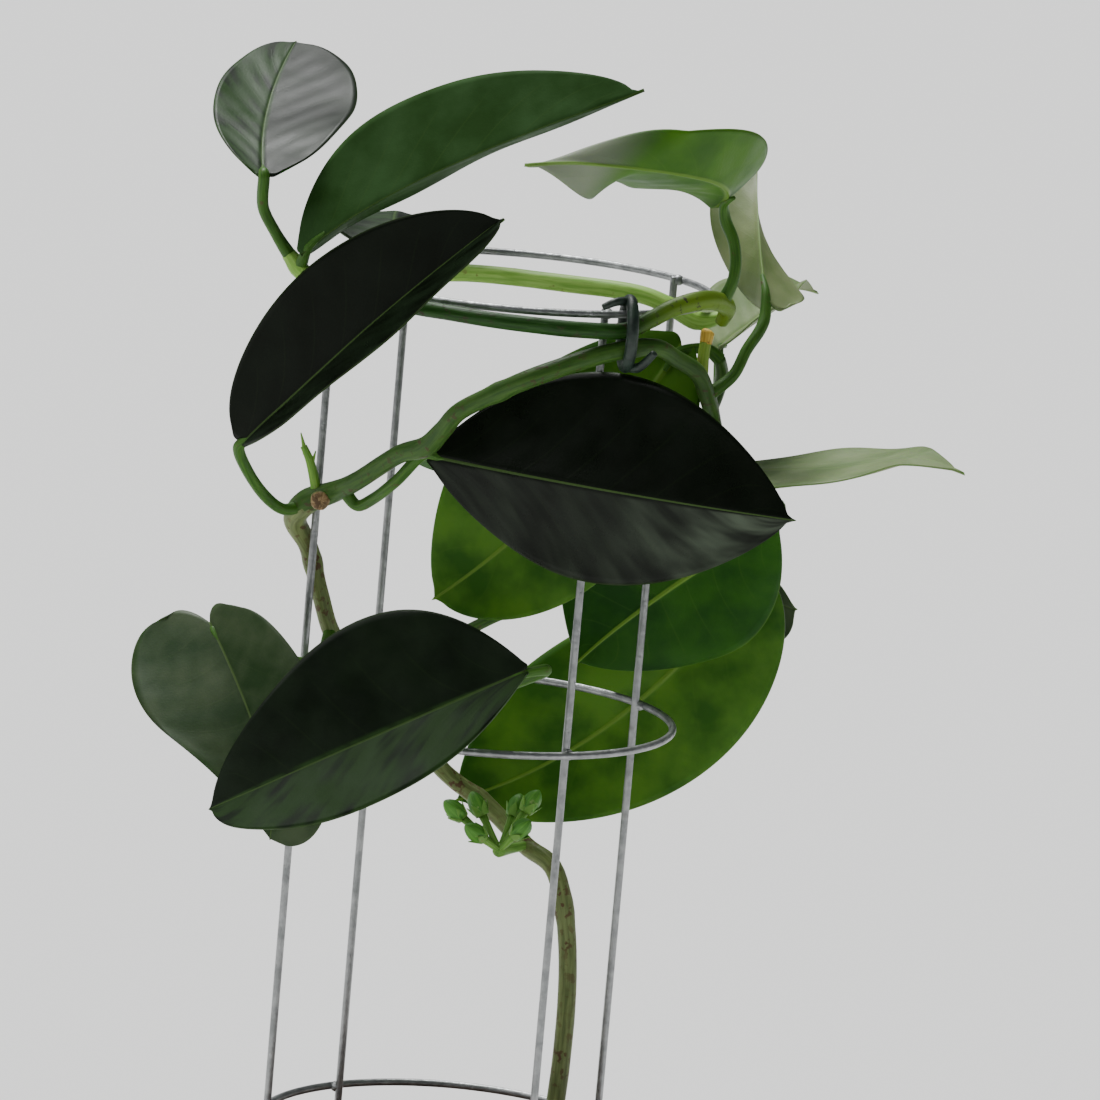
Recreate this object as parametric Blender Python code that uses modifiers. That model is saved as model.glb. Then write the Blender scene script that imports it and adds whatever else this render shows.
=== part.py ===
"""A young wax flower vine (stephanotis) twined up a welded wire cage in a plain nursery pot.

Everything is placed in metres, +Z up, with the origin at the centre of the pot's flat underside and -Y
towards the viewer. Routes and leaves are listed in millimetres and scaled by MM.
"""

import math

import bmesh
import bpy
from mathutils import Quaternion, Vector

MM = 0.001
GAP = 0.3 * MM  # the clearance between pieces that touch

# Pot
POT_HEIGHT = 110 * MM
POT_BASE_RADIUS = 46 * MM
POT_TOP_RADIUS = 60 * MM  # outside of the wall, just under the rim band
POT_RIM_RADIUS = 64 * MM
POT_RIM_DEPTH = 18 * MM
POT_WALL = 2 * MM
POT_FLOOR = 3 * MM
DRAIN_HOLES = 6
DRAIN_HOLE_RADIUS = 4 * MM
DRAIN_CIRCLE_RADIUS = 33 * MM
TURNING_STEPS = 48

# Soil
SOIL_EDGE_HEIGHT = 96 * MM
SOIL_CROWN = 3 * MM  # how far the middle stands above the edge

# Wire cage
WIRE_RADIUS = 1 * MM
RING_RADIUS = 50 * MM
RING_HEIGHTS = {"ring_low": 121.5 * MM, "ring_middle": 236 * MM, "ring_top": 350.5 * MM}
UPRIGHT_ANGLES = {"upright_front": -62, "upright_right": 33, "upright_back": 129, "upright_left": 182}
UPRIGHT_CIRCLE_RADIUS = RING_RADIUS - 2 * WIRE_RADIUS - GAP
UPRIGHT_FOOT = 50 * MM
UPRIGHT_TOP = RING_HEIGHTS["ring_top"] + WIRE_RADIUS
RING_SEGMENTS = 36
WIRE_SIDES = 8

# Leaf blades and stalks
BLADE_THICKNESS = 0.8 * MM
BLADE_STATIONS = (0.015, 0.06, 0.15, 0.27, 0.40, 0.52, 0.64, 0.76, 0.86, 0.94, 0.985, 1.02)
BLADE_COLUMNS = 6
TIP_HALF_WIDTH = 0.6 * MM
LOBE_END = 0.22  # how far up the blade the base's lobes reach, as a share of it
HOOK_START = 0.88  # where a hooked tip begins to turn
CUPPING = 0.10  # rise of each half's edge, as a share of its width
STALK_RADIUS = 1.6 * MM
STALK_SINK = 9 * MM  # how far the stalk runs into the blade as the start of its midrib

# The vine's stems: x, y, z and radius in millimetres
STEMS = {
    "vine_main": (
        (27, 20, 30, 2.6), (27, 20, 80, 2.6), (27, 20, 104, 2.6), (29, 22, 140, 2.5), (28, 25, 168, 2.5),
        (23, 26, 188.5, 2.5), (14, 31, 194.5, 2.5), (3, 37, 203, 2.4), (-6, 38, 208.5, 2.3), (-12, 36, 214, 2.3),
        (-23, 26, 228, 2.3), (-35, 12, 244, 2.3), (-41, 6, 252, 2.3), (-45, 3.5, 263, 2.3), (-49, 3, 275, 2.5),
        (-53, -1, 283, 3.0), (-50, -7, 289, 3.3), (-43, -11, 293, 2.8), (-37, -20, 298, 2.4), (-27, -31, 307.5, 2.4),
        (-20, -38, 311.5, 2.7), (-16, -43, 317, 2.4), (-12, -47.5, 323, 2.3), (-2.5, -52, 329.5, 2.3),
        (5, -54.5, 334, 2.4), (17, -51, 339, 2.4), (27, -47, 342, 2.3),
        (36, -43, 343, 2.2), (41, -38, 340, 2.2), (47, -33, 336, 2.2), (50, -28, 330, 2.2), (52, -22, 324, 2.1),
        (54, -16, 316, 1.9), (55, -12, 308, 1.4),
    ),
    "vine_climber": (
        (-25.2, 18, 237, 1.1), (-15, 10, 249, 1.5), (0, 5, 260, 1.5), (9, 3, 265, 1.5), (22, 5, 275, 1.6),
        (36, 8, 292, 1.7), (46, 8, 309, 1.8), (52, 0, 321, 1.8), (54, -9, 331, 1.8), (53, -15, 337, 1.5),
    ),
    "vine_ring": (
        (-55, -11, 348.5, 1.5), (-52.5, -18, 348.5, 2.0), (-46.5, -28, 348, 2.0), (-35, -41, 348.5, 2.0),
        (-22, -49, 348.5, 2.0), (-8, -53, 348, 2.0), (5, -53.5, 347.5, 2.1), (17, -51, 347, 2.1),
        (28, -46, 347.1, 2.1), (34, -43.5, 350, 2.2), (39.5, -39.5, 353, 2.3), (46, -34, 354.5, 2.5),
        (50.5, -28.5, 354, 2.5), (53.5, -22, 351.5, 2.3), (52.5, -19, 347.5, 1.7),
    ),
    "vine_cross": (
        (-60, -1, 352, 2.0), (-54.5, -5.5, 347.4, 2.3), (-46, -8, 346.5, 2.3), (-30, -9, 350, 2.3),
        (-14, -8, 352.5, 2.3), (16, -12, 352.5, 2.3), (30, -14, 352, 2.3), (38, -15, 350, 2.3),
        (46, -15, 346.5, 2.2), (52.5, -12, 347.5, 1.6),
    ),
}
STEM_SMOOTHING = 2  # points read from the smooth curve for each stretch of a route
KNOT = (-46.5, -12, 290.5)  # the tan pruning scar at the fork
KNOT_RADIUS = 2.4 * MM
KNOT_LENGTH = 5 * MM

# Short side shoots, listed as the stems are
SHOOTS = {
    "broken_shoot": ((-48.3, -9.3, 294.2, 1.3), (-50, -10, 300, 1.1), (-53, -10.5, 307, 0.5)),
    "cut_stub": ((48.5, -26, 333.3, 1.4), (48.5, -25, 339, 1.4), (49, -24, 345, 1.5)),
}

# Twist tie round the top ring, the ring stem and the main stem
TIE_CENTRE = (28.5, -44, 346)
TIE_FACING = -80  # the angle about Z of the upright plane that the turn lies in
TIE_HALF_WIDTH = 7.2 * MM
TIE_HALF_HEIGHT = 8.5 * MM
TIE_WIRE_RADIUS = 1.3 * MM
TIE_TAILS = (
    ((28.5, -44, 337.6, 1.2), (32, -48.5, 338.3, 1.2), (35.5, -51, 342.5, 1.0)),
    ((28.5, -44.5, 354.4, 1.2), (25, -47.5, 354.4, 1.1), (22, -48.5, 353, 0.9)),
)

# The flower buds: the route of the stalk that carries them, then each bud's middle
BUD_STALK = ((13.3, 28.2, 194.6, 1.0), (10, 24, 194.5, 1.5), (7.5, 19, 195, 1.9))
BUDS = (
    (-5.5, 17, 205.5), (0.5, 22, 206.5), (0.5, 14.5, 200.5), (15, 22, 208.5), (13, 15, 202.5), (11, 26, 206),
)
BUD_RADIUS = 2.5 * MM
BUD_LENGTH = 7 * MM
PEDICEL_RADIUS = 0.9 * MM

# Each leaf: its base, middle and tip on the midrib, the edge of each half level with the middle, the fullness of its
# outline at the base and at the tip (0.5 is an ellipse, more is slimmer) and where it is widest (under 1 is nearer
# the base), the stem that carries it and its stalk's route from there, how far the base's lobes reach back, the turn
# of its very tip, and how many degrees its blade twists for each blade length, from which share of it. In
# millimetres.
LEAVES = {
    "leaf_centre": dict(
        midrib=((-18.9, -33, 308.3), (27, -53, 307), (73, -60, 305)), edges=((29, -46, 336), (25, -51, 282.7)),
        outline=(0.73, 0.73, 1.0), stem="vine_main",
        stalk=((-37, -14, 290.5), (-33, -18, 293), (-27, -27, 300)), lobes=2,
    ),
    "leaf_upper_left": dict(
        midrib=((-67, -26, 306), (-35, -56, 345), (-6, -70, 375)), edges=((-52, -52, 358), (-31, -69, 343.4)),
        outline=(0.56, 0.56, 0.9), stem="vine_main",
        stalk=((-56, -10, 287), (-61, -14, 291), (-65.5, -20, 298)), lobes=2,
    ),
    "leaf_lower_front": dict(
        midrib=((11.5, -53, 259.5), (-37, -61, 234), (-66, -57, 217)), edges=((-31, -75, 222), (-40, -52, 264)),
        outline=(1.15, 0.62, 0.78), stem="vine_main",
        stalk=((-12, 14, 232), (-4, -14, 241), (4, -36, 250), (12, -46, 256), (15.5, -50, 259)), lobes=1,
    ),
    "leaf_left": dict(
        midrib=((-73, -13, 257), (-55.5, -39, 229.5), (-51, -45, 208)),
        edges=((-38.5, -50, 239), (-86.5, -30, 234.5)),
        outline=(0.38, 0.48, 0.86), stem="vine_main",
        stalk=((-44, -6, 247), (-53, -12, 248), (-67, -9, 252)), lobes=4,
    ),
    "leaf_inner": dict(
        midrib=((43.5, -18, 341), (16, -25, 301), (-14, -22, 270)), edges=((-4, -22, 321), (33, -31, 286)),
        outline=(0.45, 0.58, 1.06), stem="vine_climber", stalk=((49, -16, 339.5),), lobes=2,
    ),
    "leaf_back_low": dict(
        midrib=((70, 51, 271), (37, 57, 226.5), (-4, 46, 202)), edges=((11, 60, 238), (60, 52, 213)),
        outline=(0.65, 0.65, 0.85), stem="vine_climber", stalk=((53, 21, 297), (64, 36, 294), (71, 46, 284)), lobes=2,
    ),
    "leaf_back_high": dict(
        midrib=((72, 19, 289.5), (44, 37, 264), (24, 34, 245)), edges=((24, 35, 291), (69, 42, 253)),
        outline=(0.72, 0.72, 1.1), stem="vine_climber", stalk=((54, 9, 304), (64, 10, 300), (73, 13, 295)), lobes=2,
    ),
    "leaf_back_outer": dict(
        midrib=((34, 74, 276), (60, 80, 263), (81, 72, 257)), edges=((56, 76, 279), (60, 82, 245)),
        outline=(0.6, 0.45, 0.95), stem="vine_climber", stalk=((28, 22, 299), (27, 45, 296), (29, 64, 284)), lobes=3,
    ),
    "leaf_top_left": dict(
        midrib=((-57, -8, 353), (-26, -11, 377), (25, -12, 403)), edges=((-31, 4, 396), (-25, 8, 373)),
        outline=(0.64, 0.64, 0.92), stem="vine_cross", stalk=(), lobes=1,
    ),
    "leaf_top_rear": dict(
        midrib=((-68, -10, 374), (-70, 26, 386), (-66, 66, 399)), edges=((-84, 28, 389), (-47, 27, 390)),
        outline=(0.5, 0.5, 0.98), stem="vine_cross", stalk=((-64, -4, 358), (-67.5, -8, 365)), lobes=3,
    ),
    "leaf_top_right": dict(
        midrib=((49, -22, 378), (42, -48, 388), (-1, -71, 391)), edges=((55, -44.5, 400), (24, -32, 382)),
        outline=(0.7, 1.2, 0.95), stem="vine_ring",
        stalk=((54, -26, 358.5), (54.5, -25, 363.5), (53.5, -24, 369), (51, -23, 374)), lobes=4, hook=(2, 0, -1),
        twist=(300, 0.7),
    ),
    "leaf_side_tall": dict(
        midrib=((64, -14, 352.5), (60, 8, 369.5), (58.5, 32, 385.5)), edges=((77.5, 12.5, 366), (59, 17.5, 360.5)),
        outline=(0.35, 0.6, 1.0), stem="vine_main",
        stalk=((56.5, -24, 334.5), (59.5, -21, 341), (62.5, -18, 346), (63.5, -15.5, 349.5)), lobes=3, twist=(105, 0),
    ),
    "leaf_side_far": dict(
        midrib=((52, 2, 337), (63, 37, 341), (75, 68, 348)), edges=((51, 51, 346), (71, 27, 349)),
        outline=(0.57, 0.75, 0.98), stem="vine_climber", stalk=(), lobes=1, hook=(3, 0, -3),
    ),
    "leaf_side_flat": dict(
        midrib=((58, 2, 306), (85, -16, 311.5), (110, -33, 321)), edges=((97, 7, 314), (72, -38, 309)),
        outline=(0.57, 0.8, 0.9), stem="vine_main", stalk=((57, -6, 306.5),), lobes=1, hook=(5, 0, -4),
    ),
    "leaf_rear_left": dict(
        midrib=((-28, 60, 219), (-44, 78, 216), (-60, 92, 204)), edges=((-60, 62, 219), (-28, 94, 212)),
        outline=(0.6, 0.6, 0.95), stem="vine_main", stalk=((-16, 44, 216), (-22, 54, 219)), lobes=2,
    ),
    "leaf_rear_middle": dict(
        midrib=((14, 20, 290), (-2, 52, 292), (-18, 84, 284)), edges=((-24, 44, 296), (15, 60, 289)),
        outline=(0.6, 0.6, 0.95), stem="vine_climber", stalk=((23, 13, 286),), lobes=2,
    ),
    "leaf_rear_upper": dict(
        midrib=((-33, 14, 354), (-35, 46, 359), (-32, 78, 352)), edges=((-54, 44, 357), (-15, 48, 356)),
        outline=(0.6, 0.6, 0.95), stem="vine_cross", stalk=((-36, 0, 353),), lobes=2,
    ),
}

LEAF_GREEN = (0.030, 0.085, 0.022)
STEM_GREEN = (0.10, 0.20, 0.045)
WIRE_GREY = (0.42, 0.43, 0.42)
FINISHES = {
    "pot_plastic": ((0.32, 0.11, 0.05), 0.55, 0.0),
    "potting_soil": ((0.035, 0.022, 0.014), 0.95, 0.0),
    "galvanised_wire": (WIRE_GREY, 0.40, 1.0),
    "tie_plastic": ((0.02, 0.05, 0.04), 0.50, 0.0),
    "vine_stem": (STEM_GREEN, 0.55, 0.0),
    "leaf_blade": (LEAF_GREEN, 0.35, 0.0),
    "flower_bud": ((0.07, 0.20, 0.04), 0.50, 0.0),
}


def cleared_scene():
    for old in list(bpy.data.objects):
        bpy.data.objects.remove(old, do_unlink=True)


def collection(name, hidden=False):
    made = bpy.data.collections.new(name)
    bpy.context.scene.collection.children.link(made)
    made.hide_render = hidden
    return made


def finish(name):
    """The Principled material of this name, made once."""
    found = bpy.data.materials.get(name)
    if found:
        return found
    colour, roughness, metallic = FINISHES[name]
    made = bpy.data.materials.new(name)
    made.use_nodes = True
    shader = made.node_tree.nodes["Principled BSDF"]
    shader.inputs["Base Color"].default_value = (*colour, 1)
    shader.inputs["Roughness"].default_value = roughness
    shader.inputs["Metallic"].default_value = metallic
    return made


def placed(name, mesh, material, where):
    made = bpy.data.objects.new(name, mesh)
    mesh.materials.clear()
    mesh.materials.append(finish(material))
    where.objects.link(made)
    return made


def realised(thing):
    """Replaces an object's data by the mesh that its curve or modifiers make, with its caps welded."""
    bpy.context.view_layer.update()
    evaluated = thing.evaluated_get(bpy.context.evaluated_depsgraph_get())
    mesh = bpy.data.meshes.new_from_object(evaluated)
    shape = bmesh.new()
    shape.from_mesh(mesh)
    bmesh.ops.remove_doubles(shape, verts=shape.verts, dist=0.001 * MM)
    bmesh.ops.recalc_face_normals(shape, faces=shape.faces)
    shape.to_mesh(mesh)
    shape.free()
    return mesh


def hidden_helper(thing):
    thing.hide_render = True
    thing.display_type = "WIRE"
    return thing


def joined(body, others):
    """Fuses other closed objects into body, and removes them."""
    for other in others:
        union = body.modifiers.new("union", "BOOLEAN")
        union.operation = "UNION"
        union.solver = "EXACT"
        union.object = other
    mesh = realised(body)
    body.modifiers.clear()
    body.data = mesh
    for other in others:
        bpy.data.objects.remove(other, do_unlink=True)
    return body


def smooth_route(route, steps):
    """Points along the Catmull-Rom curve through the route, each with its radius, all in metres."""
    ends = [route[0], *route, route[-1]]
    found = []
    for first, start, end, last in zip(ends, ends[1:], ends[2:], ends[3:]):
        for step in range(steps):
            t = step / steps
            weights = (
                (-t + 2 * t**2 - t**3) / 2,
                (2 - 5 * t**2 + 3 * t**3) / 2,
                (t + 4 * t**2 - 3 * t**3) / 2,
                (t**3 - t**2) / 2,
            )
            four = (first, start, end, last)
            found.append([sum(w * p[i] for w, p in zip(weights, four)) * MM for i in range(4)])
    found.append([value * MM for value in route[-1]])
    return found


def tube(name, stations, material, where, detail=2, cyclic=False):
    """A round tube through stations of x, y, z and radius in metres, as a welded mesh."""
    curve = bpy.data.curves.new(name, "CURVE")
    curve.dimensions = "3D"
    curve.bevel_depth = 1
    curve.bevel_resolution = detail
    curve.use_fill_caps = not cyclic
    curve.twist_mode = "MINIMUM"
    spline = curve.splines.new("POLY")
    spline.points.add(len(stations) - 1)
    spline.use_cyclic_u = cyclic
    for point, (x, y, z, radius) in zip(spline.points, stations):
        point.co = (x, y, z, 1)
        point.radius = radius
    guide = bpy.data.objects.new(name + "_guide", curve)
    where.objects.link(guide)
    mesh = realised(guide)
    bpy.data.objects.remove(guide, do_unlink=True)
    made = placed(name, mesh, material, where)
    mesh.shade_smooth()
    return made


def turned(name, profile, material, where):
    """A solid of revolution about Z from a profile of radius and height that runs down its outer side."""
    mesh = bpy.data.meshes.new(name)
    points = [(radius, 0, height) for radius, height in profile]
    mesh.from_pydata(points, [(i, i + 1) for i in range(len(points) - 1)], [])
    made = placed(name, mesh, material, where)
    screw = made.modifiers.new("turn", "SCREW")
    screw.steps = screw.render_steps = TURNING_STEPS
    screw.use_merge_vertices = True
    screw.merge_threshold = 0.00001
    screw.use_smooth_shade = True
    return made


def cylinder(name, radius, low, high, x, y, where, sides=12):
    mesh = bpy.data.meshes.new(name)
    shape = bmesh.new()
    bmesh.ops.create_cone(
        shape, cap_ends=True, segments=sides, radius1=radius, radius2=radius, depth=high - low
    )
    bmesh.ops.translate(shape, verts=shape.verts, vec=(x, y, (low + high) / 2))
    shape.to_mesh(mesh)
    shape.free()
    made = bpy.data.objects.new(name, mesh)
    where.objects.link(made)
    return made


def cut(body, cutter):
    hidden_helper(cutter)
    hole = body.modifiers.new(cutter.name, "BOOLEAN")
    hole.operation = "DIFFERENCE"
    hole.solver = "EXACT"
    hole.object = cutter


def pot_radius(height):
    """The outside radius of the pot's tapered wall at this height."""
    taper = (POT_TOP_RADIUS - POT_BASE_RADIUS) / (POT_HEIGHT - POT_RIM_DEPTH)
    return POT_BASE_RADIUS + taper * height


def make_pot(parts, cutters):
    shoulder = POT_HEIGHT - POT_RIM_DEPTH
    step = 1.5 * MM
    lip = 1 * MM
    pot = turned(
        "pot",
        (
            (0, POT_FLOOR),
            (pot_radius(POT_FLOOR) - POT_WALL, POT_FLOOR),
            (pot_radius(shoulder) - POT_WALL, shoulder),
            (POT_RIM_RADIUS - POT_WALL - lip, POT_HEIGHT - lip),
            (POT_RIM_RADIUS - POT_WALL, POT_HEIGHT),
            (POT_RIM_RADIUS - lip / 2, POT_HEIGHT),
            (POT_RIM_RADIUS, POT_HEIGHT - lip),
            (POT_RIM_RADIUS - lip / 2, shoulder),
            (pot_radius(shoulder) + lip / 2, shoulder - step / 2),
            (pot_radius(shoulder - step), shoulder - step),
            (POT_BASE_RADIUS, step),
            (POT_BASE_RADIUS - step, 0),
            (0, 0),
        ),
        "pot_plastic",
        parts,
    )
    for number in range(DRAIN_HOLES):
        angle = math.tau * number / DRAIN_HOLES
        x = DRAIN_CIRCLE_RADIUS * math.cos(angle)
        y = DRAIN_CIRCLE_RADIUS * math.sin(angle)
        cut(pot, cylinder(f"drain_cutter_{number}", DRAIN_HOLE_RADIUS, -5 * MM, POT_FLOOR + MM, x, y, cutters))


def upright_place(name):
    angle = math.radians(UPRIGHT_ANGLES[name])
    return UPRIGHT_CIRCLE_RADIUS * math.cos(angle), UPRIGHT_CIRCLE_RADIUS * math.sin(angle)


def make_soil(parts, cutters):
    """A slightly domed plug of potting mix with a plain hole for each wire and for the stem."""
    floor = POT_FLOOR + GAP
    inside = POT_WALL + GAP
    middle = SOIL_EDGE_HEIGHT + SOIL_CROWN
    edge = pot_radius(SOIL_EDGE_HEIGHT) - inside - MM
    soil = turned(
        "soil",
        (
            (0, middle),
            (edge * 0.35, middle - 0.1 * SOIL_CROWN),
            (edge * 0.7, middle - 0.45 * SOIL_CROWN),
            (edge, SOIL_EDGE_HEIGHT),
            (pot_radius(POT_HEIGHT - POT_RIM_DEPTH - 2 * MM) - inside, POT_HEIGHT - POT_RIM_DEPTH - 2 * MM),
            (pot_radius(floor) - inside, floor),
            (0, floor),
        ),
        "potting_soil",
        parts,
    )
    above = middle + 5 * MM
    for name in UPRIGHT_ANGLES:
        x, y = upright_place(name)
        low = UPRIGHT_FOOT - GAP
        cut(soil, cylinder(f"{name}_cutter", WIRE_RADIUS + 2 * GAP, low, above, x, y, cutters))
    x, y, foot, radius = (value * MM for value in STEMS["vine_main"][0])
    cut(soil, cylinder("stem_cutter", radius + 2 * GAP, foot - GAP, above, x, y, cutters))


def make_cage(parts):
    for name, height in RING_HEIGHTS.items():
        circle = []
        for number in range(RING_SEGMENTS):
            angle = math.tau * number / RING_SEGMENTS
            circle.append((RING_RADIUS * math.cos(angle), RING_RADIUS * math.sin(angle), height, WIRE_RADIUS))
        tube(name, circle, "galvanised_wire", parts, detail=1, cyclic=True)
    for name in UPRIGHT_ANGLES:
        x, y = upright_place(name)
        wire = cylinder(name, WIRE_RADIUS, UPRIGHT_FOOT, UPRIGHT_TOP, x, y, parts, sides=WIRE_SIDES)
        wire.data.materials.append(finish("galvanised_wire"))
        wire.data.shade_smooth()


def make_tie(parts):
    """A closed turn of coated wire in an upright plane across the top ring, with its two free ends."""
    angle = math.radians(TIE_FACING)
    centre = Vector(TIE_CENTRE) * MM
    turns = 20
    loop = []
    for number in range(turns):
        phase = math.tau * number / turns
        out = TIE_HALF_WIDTH * math.cos(phase)
        offset = Vector((out * math.cos(angle), out * math.sin(angle), TIE_HALF_HEIGHT * math.sin(phase)))
        loop.append((*(centre + offset), TIE_WIRE_RADIUS))
    tie = tube("tie", loop, "tie_plastic", parts, detail=1, cyclic=True)
    tails = []
    for number, route in enumerate(TIE_TAILS):
        tails.append(tube(f"tie_tail_{number}", smooth_route(route, 2), "tie_plastic", parts, detail=1))
    joined(tie, tails)


def make_stems(parts):
    for name, route in STEMS.items():
        tube(name, smooth_route(route, STEM_SMOOTHING), "vine_stem", parts)
    for name, route in SHOOTS.items():
        tube(name, smooth_route(route, 2), "vine_stem", parts, detail=1)
    x, y, z = (value * MM for value in KNOT)
    scar = ((x, y - KNOT_LENGTH / 3, z, KNOT_RADIUS * 0.8), (x, y, z, KNOT_RADIUS))
    scar = (*scar, (x - MM, y + KNOT_LENGTH, z, KNOT_RADIUS))
    knot = tube("knot", scar, "vine_stem", parts)
    joined(bpy.data.objects["vine_main"], [knot])


def seat(stem, towards):
    """Where a stalk that leads towards a point starts, just clear of its stem."""
    stations = smooth_route(STEMS[stem], 8)
    near = min(stations, key=lambda station: (Vector(station[:3]) - towards).length)
    centre = Vector(near[:3])
    return centre + (towards - centre).normalized() * (near[3] + 1.4 * GAP)


def blade_frame(leaf, u):
    """The midrib's point and direction at this station, and the rotation there from the untwisted middle."""
    base, middle, tip = (Vector(point) * MM for point in leaf["midrib"])
    handle = 2 * middle - (base + tip) / 2
    point = base * (1 - u) ** 2 + handle * 2 * u * (1 - u) + tip * u**2
    direction = ((handle - base) * (1 - u) + (tip - handle) * u).normalized()
    degrees, start = leaf.get("twist", (0, 0))
    twist = Quaternion(direction, math.radians(degrees) * max(0, u - start))
    return point, direction, twist @ (tip - base).normalized().rotation_difference(direction)


def blade_point(leaf, u, v):
    """A point of the blade's middle surface: u runs from base to tip, and v from -1 at one edge to 1."""
    point, direction, turn = blade_frame(leaf, u)
    middle = Vector(leaf["midrib"][1])
    halves = [(Vector(edge) - middle) * MM for edge in leaf["edges"]]
    half = halves[0] if v < 0 else halves[1]
    across = abs(v)
    base_fullness, tip_fullness, widest = leaf["outline"]
    fullness = base_fullness + (tip_fullness - base_fullness) * min(u, 1)
    width = max(math.sin(math.pi * min(u, 0.999) ** widest) ** fullness, TIP_HALF_WIDTH / half.length)
    if u > 1:
        width = TIP_HALF_WIDTH / half.length
    top = (turn @ (halves[1] - halves[0])).cross(direction).normalized()
    rise = CUPPING * half.length * width * (across**2 - across)
    reach_back = leaf["lobes"] * MM * 4 * across * (1 - across) * max(0, 1 - u / LOBE_END) ** 2
    hook = Vector(leaf.get("hook", (0, 0, 0))) * MM * (max(0, u - HOOK_START) / (1 - HOOK_START)) ** 1.5
    return point + (turn @ half) * (width * across) + top * rise - direction * reach_back + hook


def make_leaf(name, leaf, parts):
    rows = len(BLADE_STATIONS) - 1
    shape = bmesh.new()
    bmesh.ops.create_grid(shape, x_segments=rows, y_segments=BLADE_COLUMNS, size=1)
    for vertex in shape.verts:
        row = round((vertex.co.x + 1) / 2 * rows)
        vertex.co = blade_point(leaf, BLADE_STATIONS[row], vertex.co.y)
    bmesh.ops.triangulate(shape, faces=shape.faces)
    mesh = bpy.data.meshes.new(name)
    shape.to_mesh(mesh)
    shape.free()
    blade = placed(name, mesh, "leaf_blade", parts)
    wall = blade.modifiers.new("wall", "SOLIDIFY")
    wall.thickness = BLADE_THICKNESS
    wall.offset = 0
    blade.data = realised(blade)
    blade.modifiers.clear()
    base, direction, _ = blade_frame(leaf, 0)
    route = [Vector(point) * MM for point in leaf["stalk"]]
    first = route[0] if route else base
    inside = base + direction * STALK_SINK
    far = route and (route[-1] - base).length > STALK_SINK
    approach = [base - direction * 2 * MM] if far else []
    centres = [seat(leaf["stem"], first), *route, *approach, base + direction * 3 * MM, inside]
    radii = [0.6 * STALK_RADIUS] + [STALK_RADIUS] * (len(centres) - 2) + [0.35 * STALK_RADIUS]
    stations = [[value / MM for value in (*centre, radius)] for centre, radius in zip(centres, radii)]
    stalk = tube(name + "_stalk", smooth_route(stations, 2), "vine_stem", parts, detail=1)
    joined(blade, [stalk])
    blade.data.materials.clear()
    blade.data.materials.append(finish("leaf_blade"))
    blade.data.shade_smooth()


def make_buds(parts):
    """A stalk that ends in a small cluster of pointed green buds, each on its own short pedicel."""
    crown = tube("bud_cluster", smooth_route(BUD_STALK, 2), "flower_bud", parts, detail=1)
    hub = Vector(BUD_STALK[-1][:3]) * MM
    lengths = (-0.5, -0.35, 0.0, 0.3, 0.5)
    widths = (0.4, 0.9, 1.0, 0.7, 0.2)
    pieces = []
    for number, place in enumerate(BUDS):
        centre = Vector(place) * MM
        out = (centre - hub).normalized()
        bud = [(*(hub - out * 0.5 * MM), PEDICEL_RADIUS)]
        bud += [(*(centre + out * BUD_LENGTH * s), BUD_RADIUS * w) for s, w in zip(lengths, widths)]
        pieces.append(tube(f"bud_{number}", bud, "flower_bud", parts, detail=1))
    joined(crown, pieces)


def build():
    cleared_scene()
    parts = collection("potted_stephanotis")
    cutters = collection("cutters", hidden=True)
    make_pot(parts, cutters)
    make_soil(parts, cutters)
    make_cage(parts)
    make_stems(parts)
    make_tie(parts)
    make_buds(parts)
    for name, leaf in LEAVES.items():
        make_leaf(name, leaf, parts)


build()
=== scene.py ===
"""A young wax flower vine (stephanotis) on a wire cage in a nursery pot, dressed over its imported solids."""

import math
import random

import bmesh
import bpy
from mathutils import Matrix, Quaternion, Vector, noise


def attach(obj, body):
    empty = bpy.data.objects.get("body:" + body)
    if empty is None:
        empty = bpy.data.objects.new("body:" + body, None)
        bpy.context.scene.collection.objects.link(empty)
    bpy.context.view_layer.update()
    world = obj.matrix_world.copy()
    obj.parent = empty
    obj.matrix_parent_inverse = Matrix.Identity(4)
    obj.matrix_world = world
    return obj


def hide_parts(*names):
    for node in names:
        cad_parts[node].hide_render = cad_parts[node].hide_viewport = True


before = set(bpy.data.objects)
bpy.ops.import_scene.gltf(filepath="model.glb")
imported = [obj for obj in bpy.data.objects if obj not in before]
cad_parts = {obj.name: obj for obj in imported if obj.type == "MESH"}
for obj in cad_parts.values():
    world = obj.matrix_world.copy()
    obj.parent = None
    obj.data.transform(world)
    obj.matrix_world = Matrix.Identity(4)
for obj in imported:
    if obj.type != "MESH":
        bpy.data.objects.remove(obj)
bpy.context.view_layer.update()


# The camera stands where the photograph was taken from: a little above the plant, a long way off and slightly
# rolled, so that the cage leans to the right in the picture.
CAMERA_PLACE = Vector((0.01385, -1.76623, 0.61012))
CAMERA_ELEVATION = math.radians(10.567)
CAMERA_ROLL = math.radians(5.089)
CAMERA_LENS = 225.56  # mm on a 36 mm sensor

camera_data = bpy.data.cameras.new("photo_camera")
camera_data.lens = CAMERA_LENS
camera_data.sensor_width = 36
camera = bpy.data.objects.new("photo_camera", camera_data)
tilt = Matrix.Rotation(math.pi / 2 - CAMERA_ELEVATION, 4, "X")
camera.matrix_world = Matrix.Translation(CAMERA_PLACE) @ tilt @ Matrix.Rotation(CAMERA_ROLL, 4, "Z")
bpy.context.scene.collection.objects.link(camera)
bpy.context.scene.camera = camera


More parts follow.
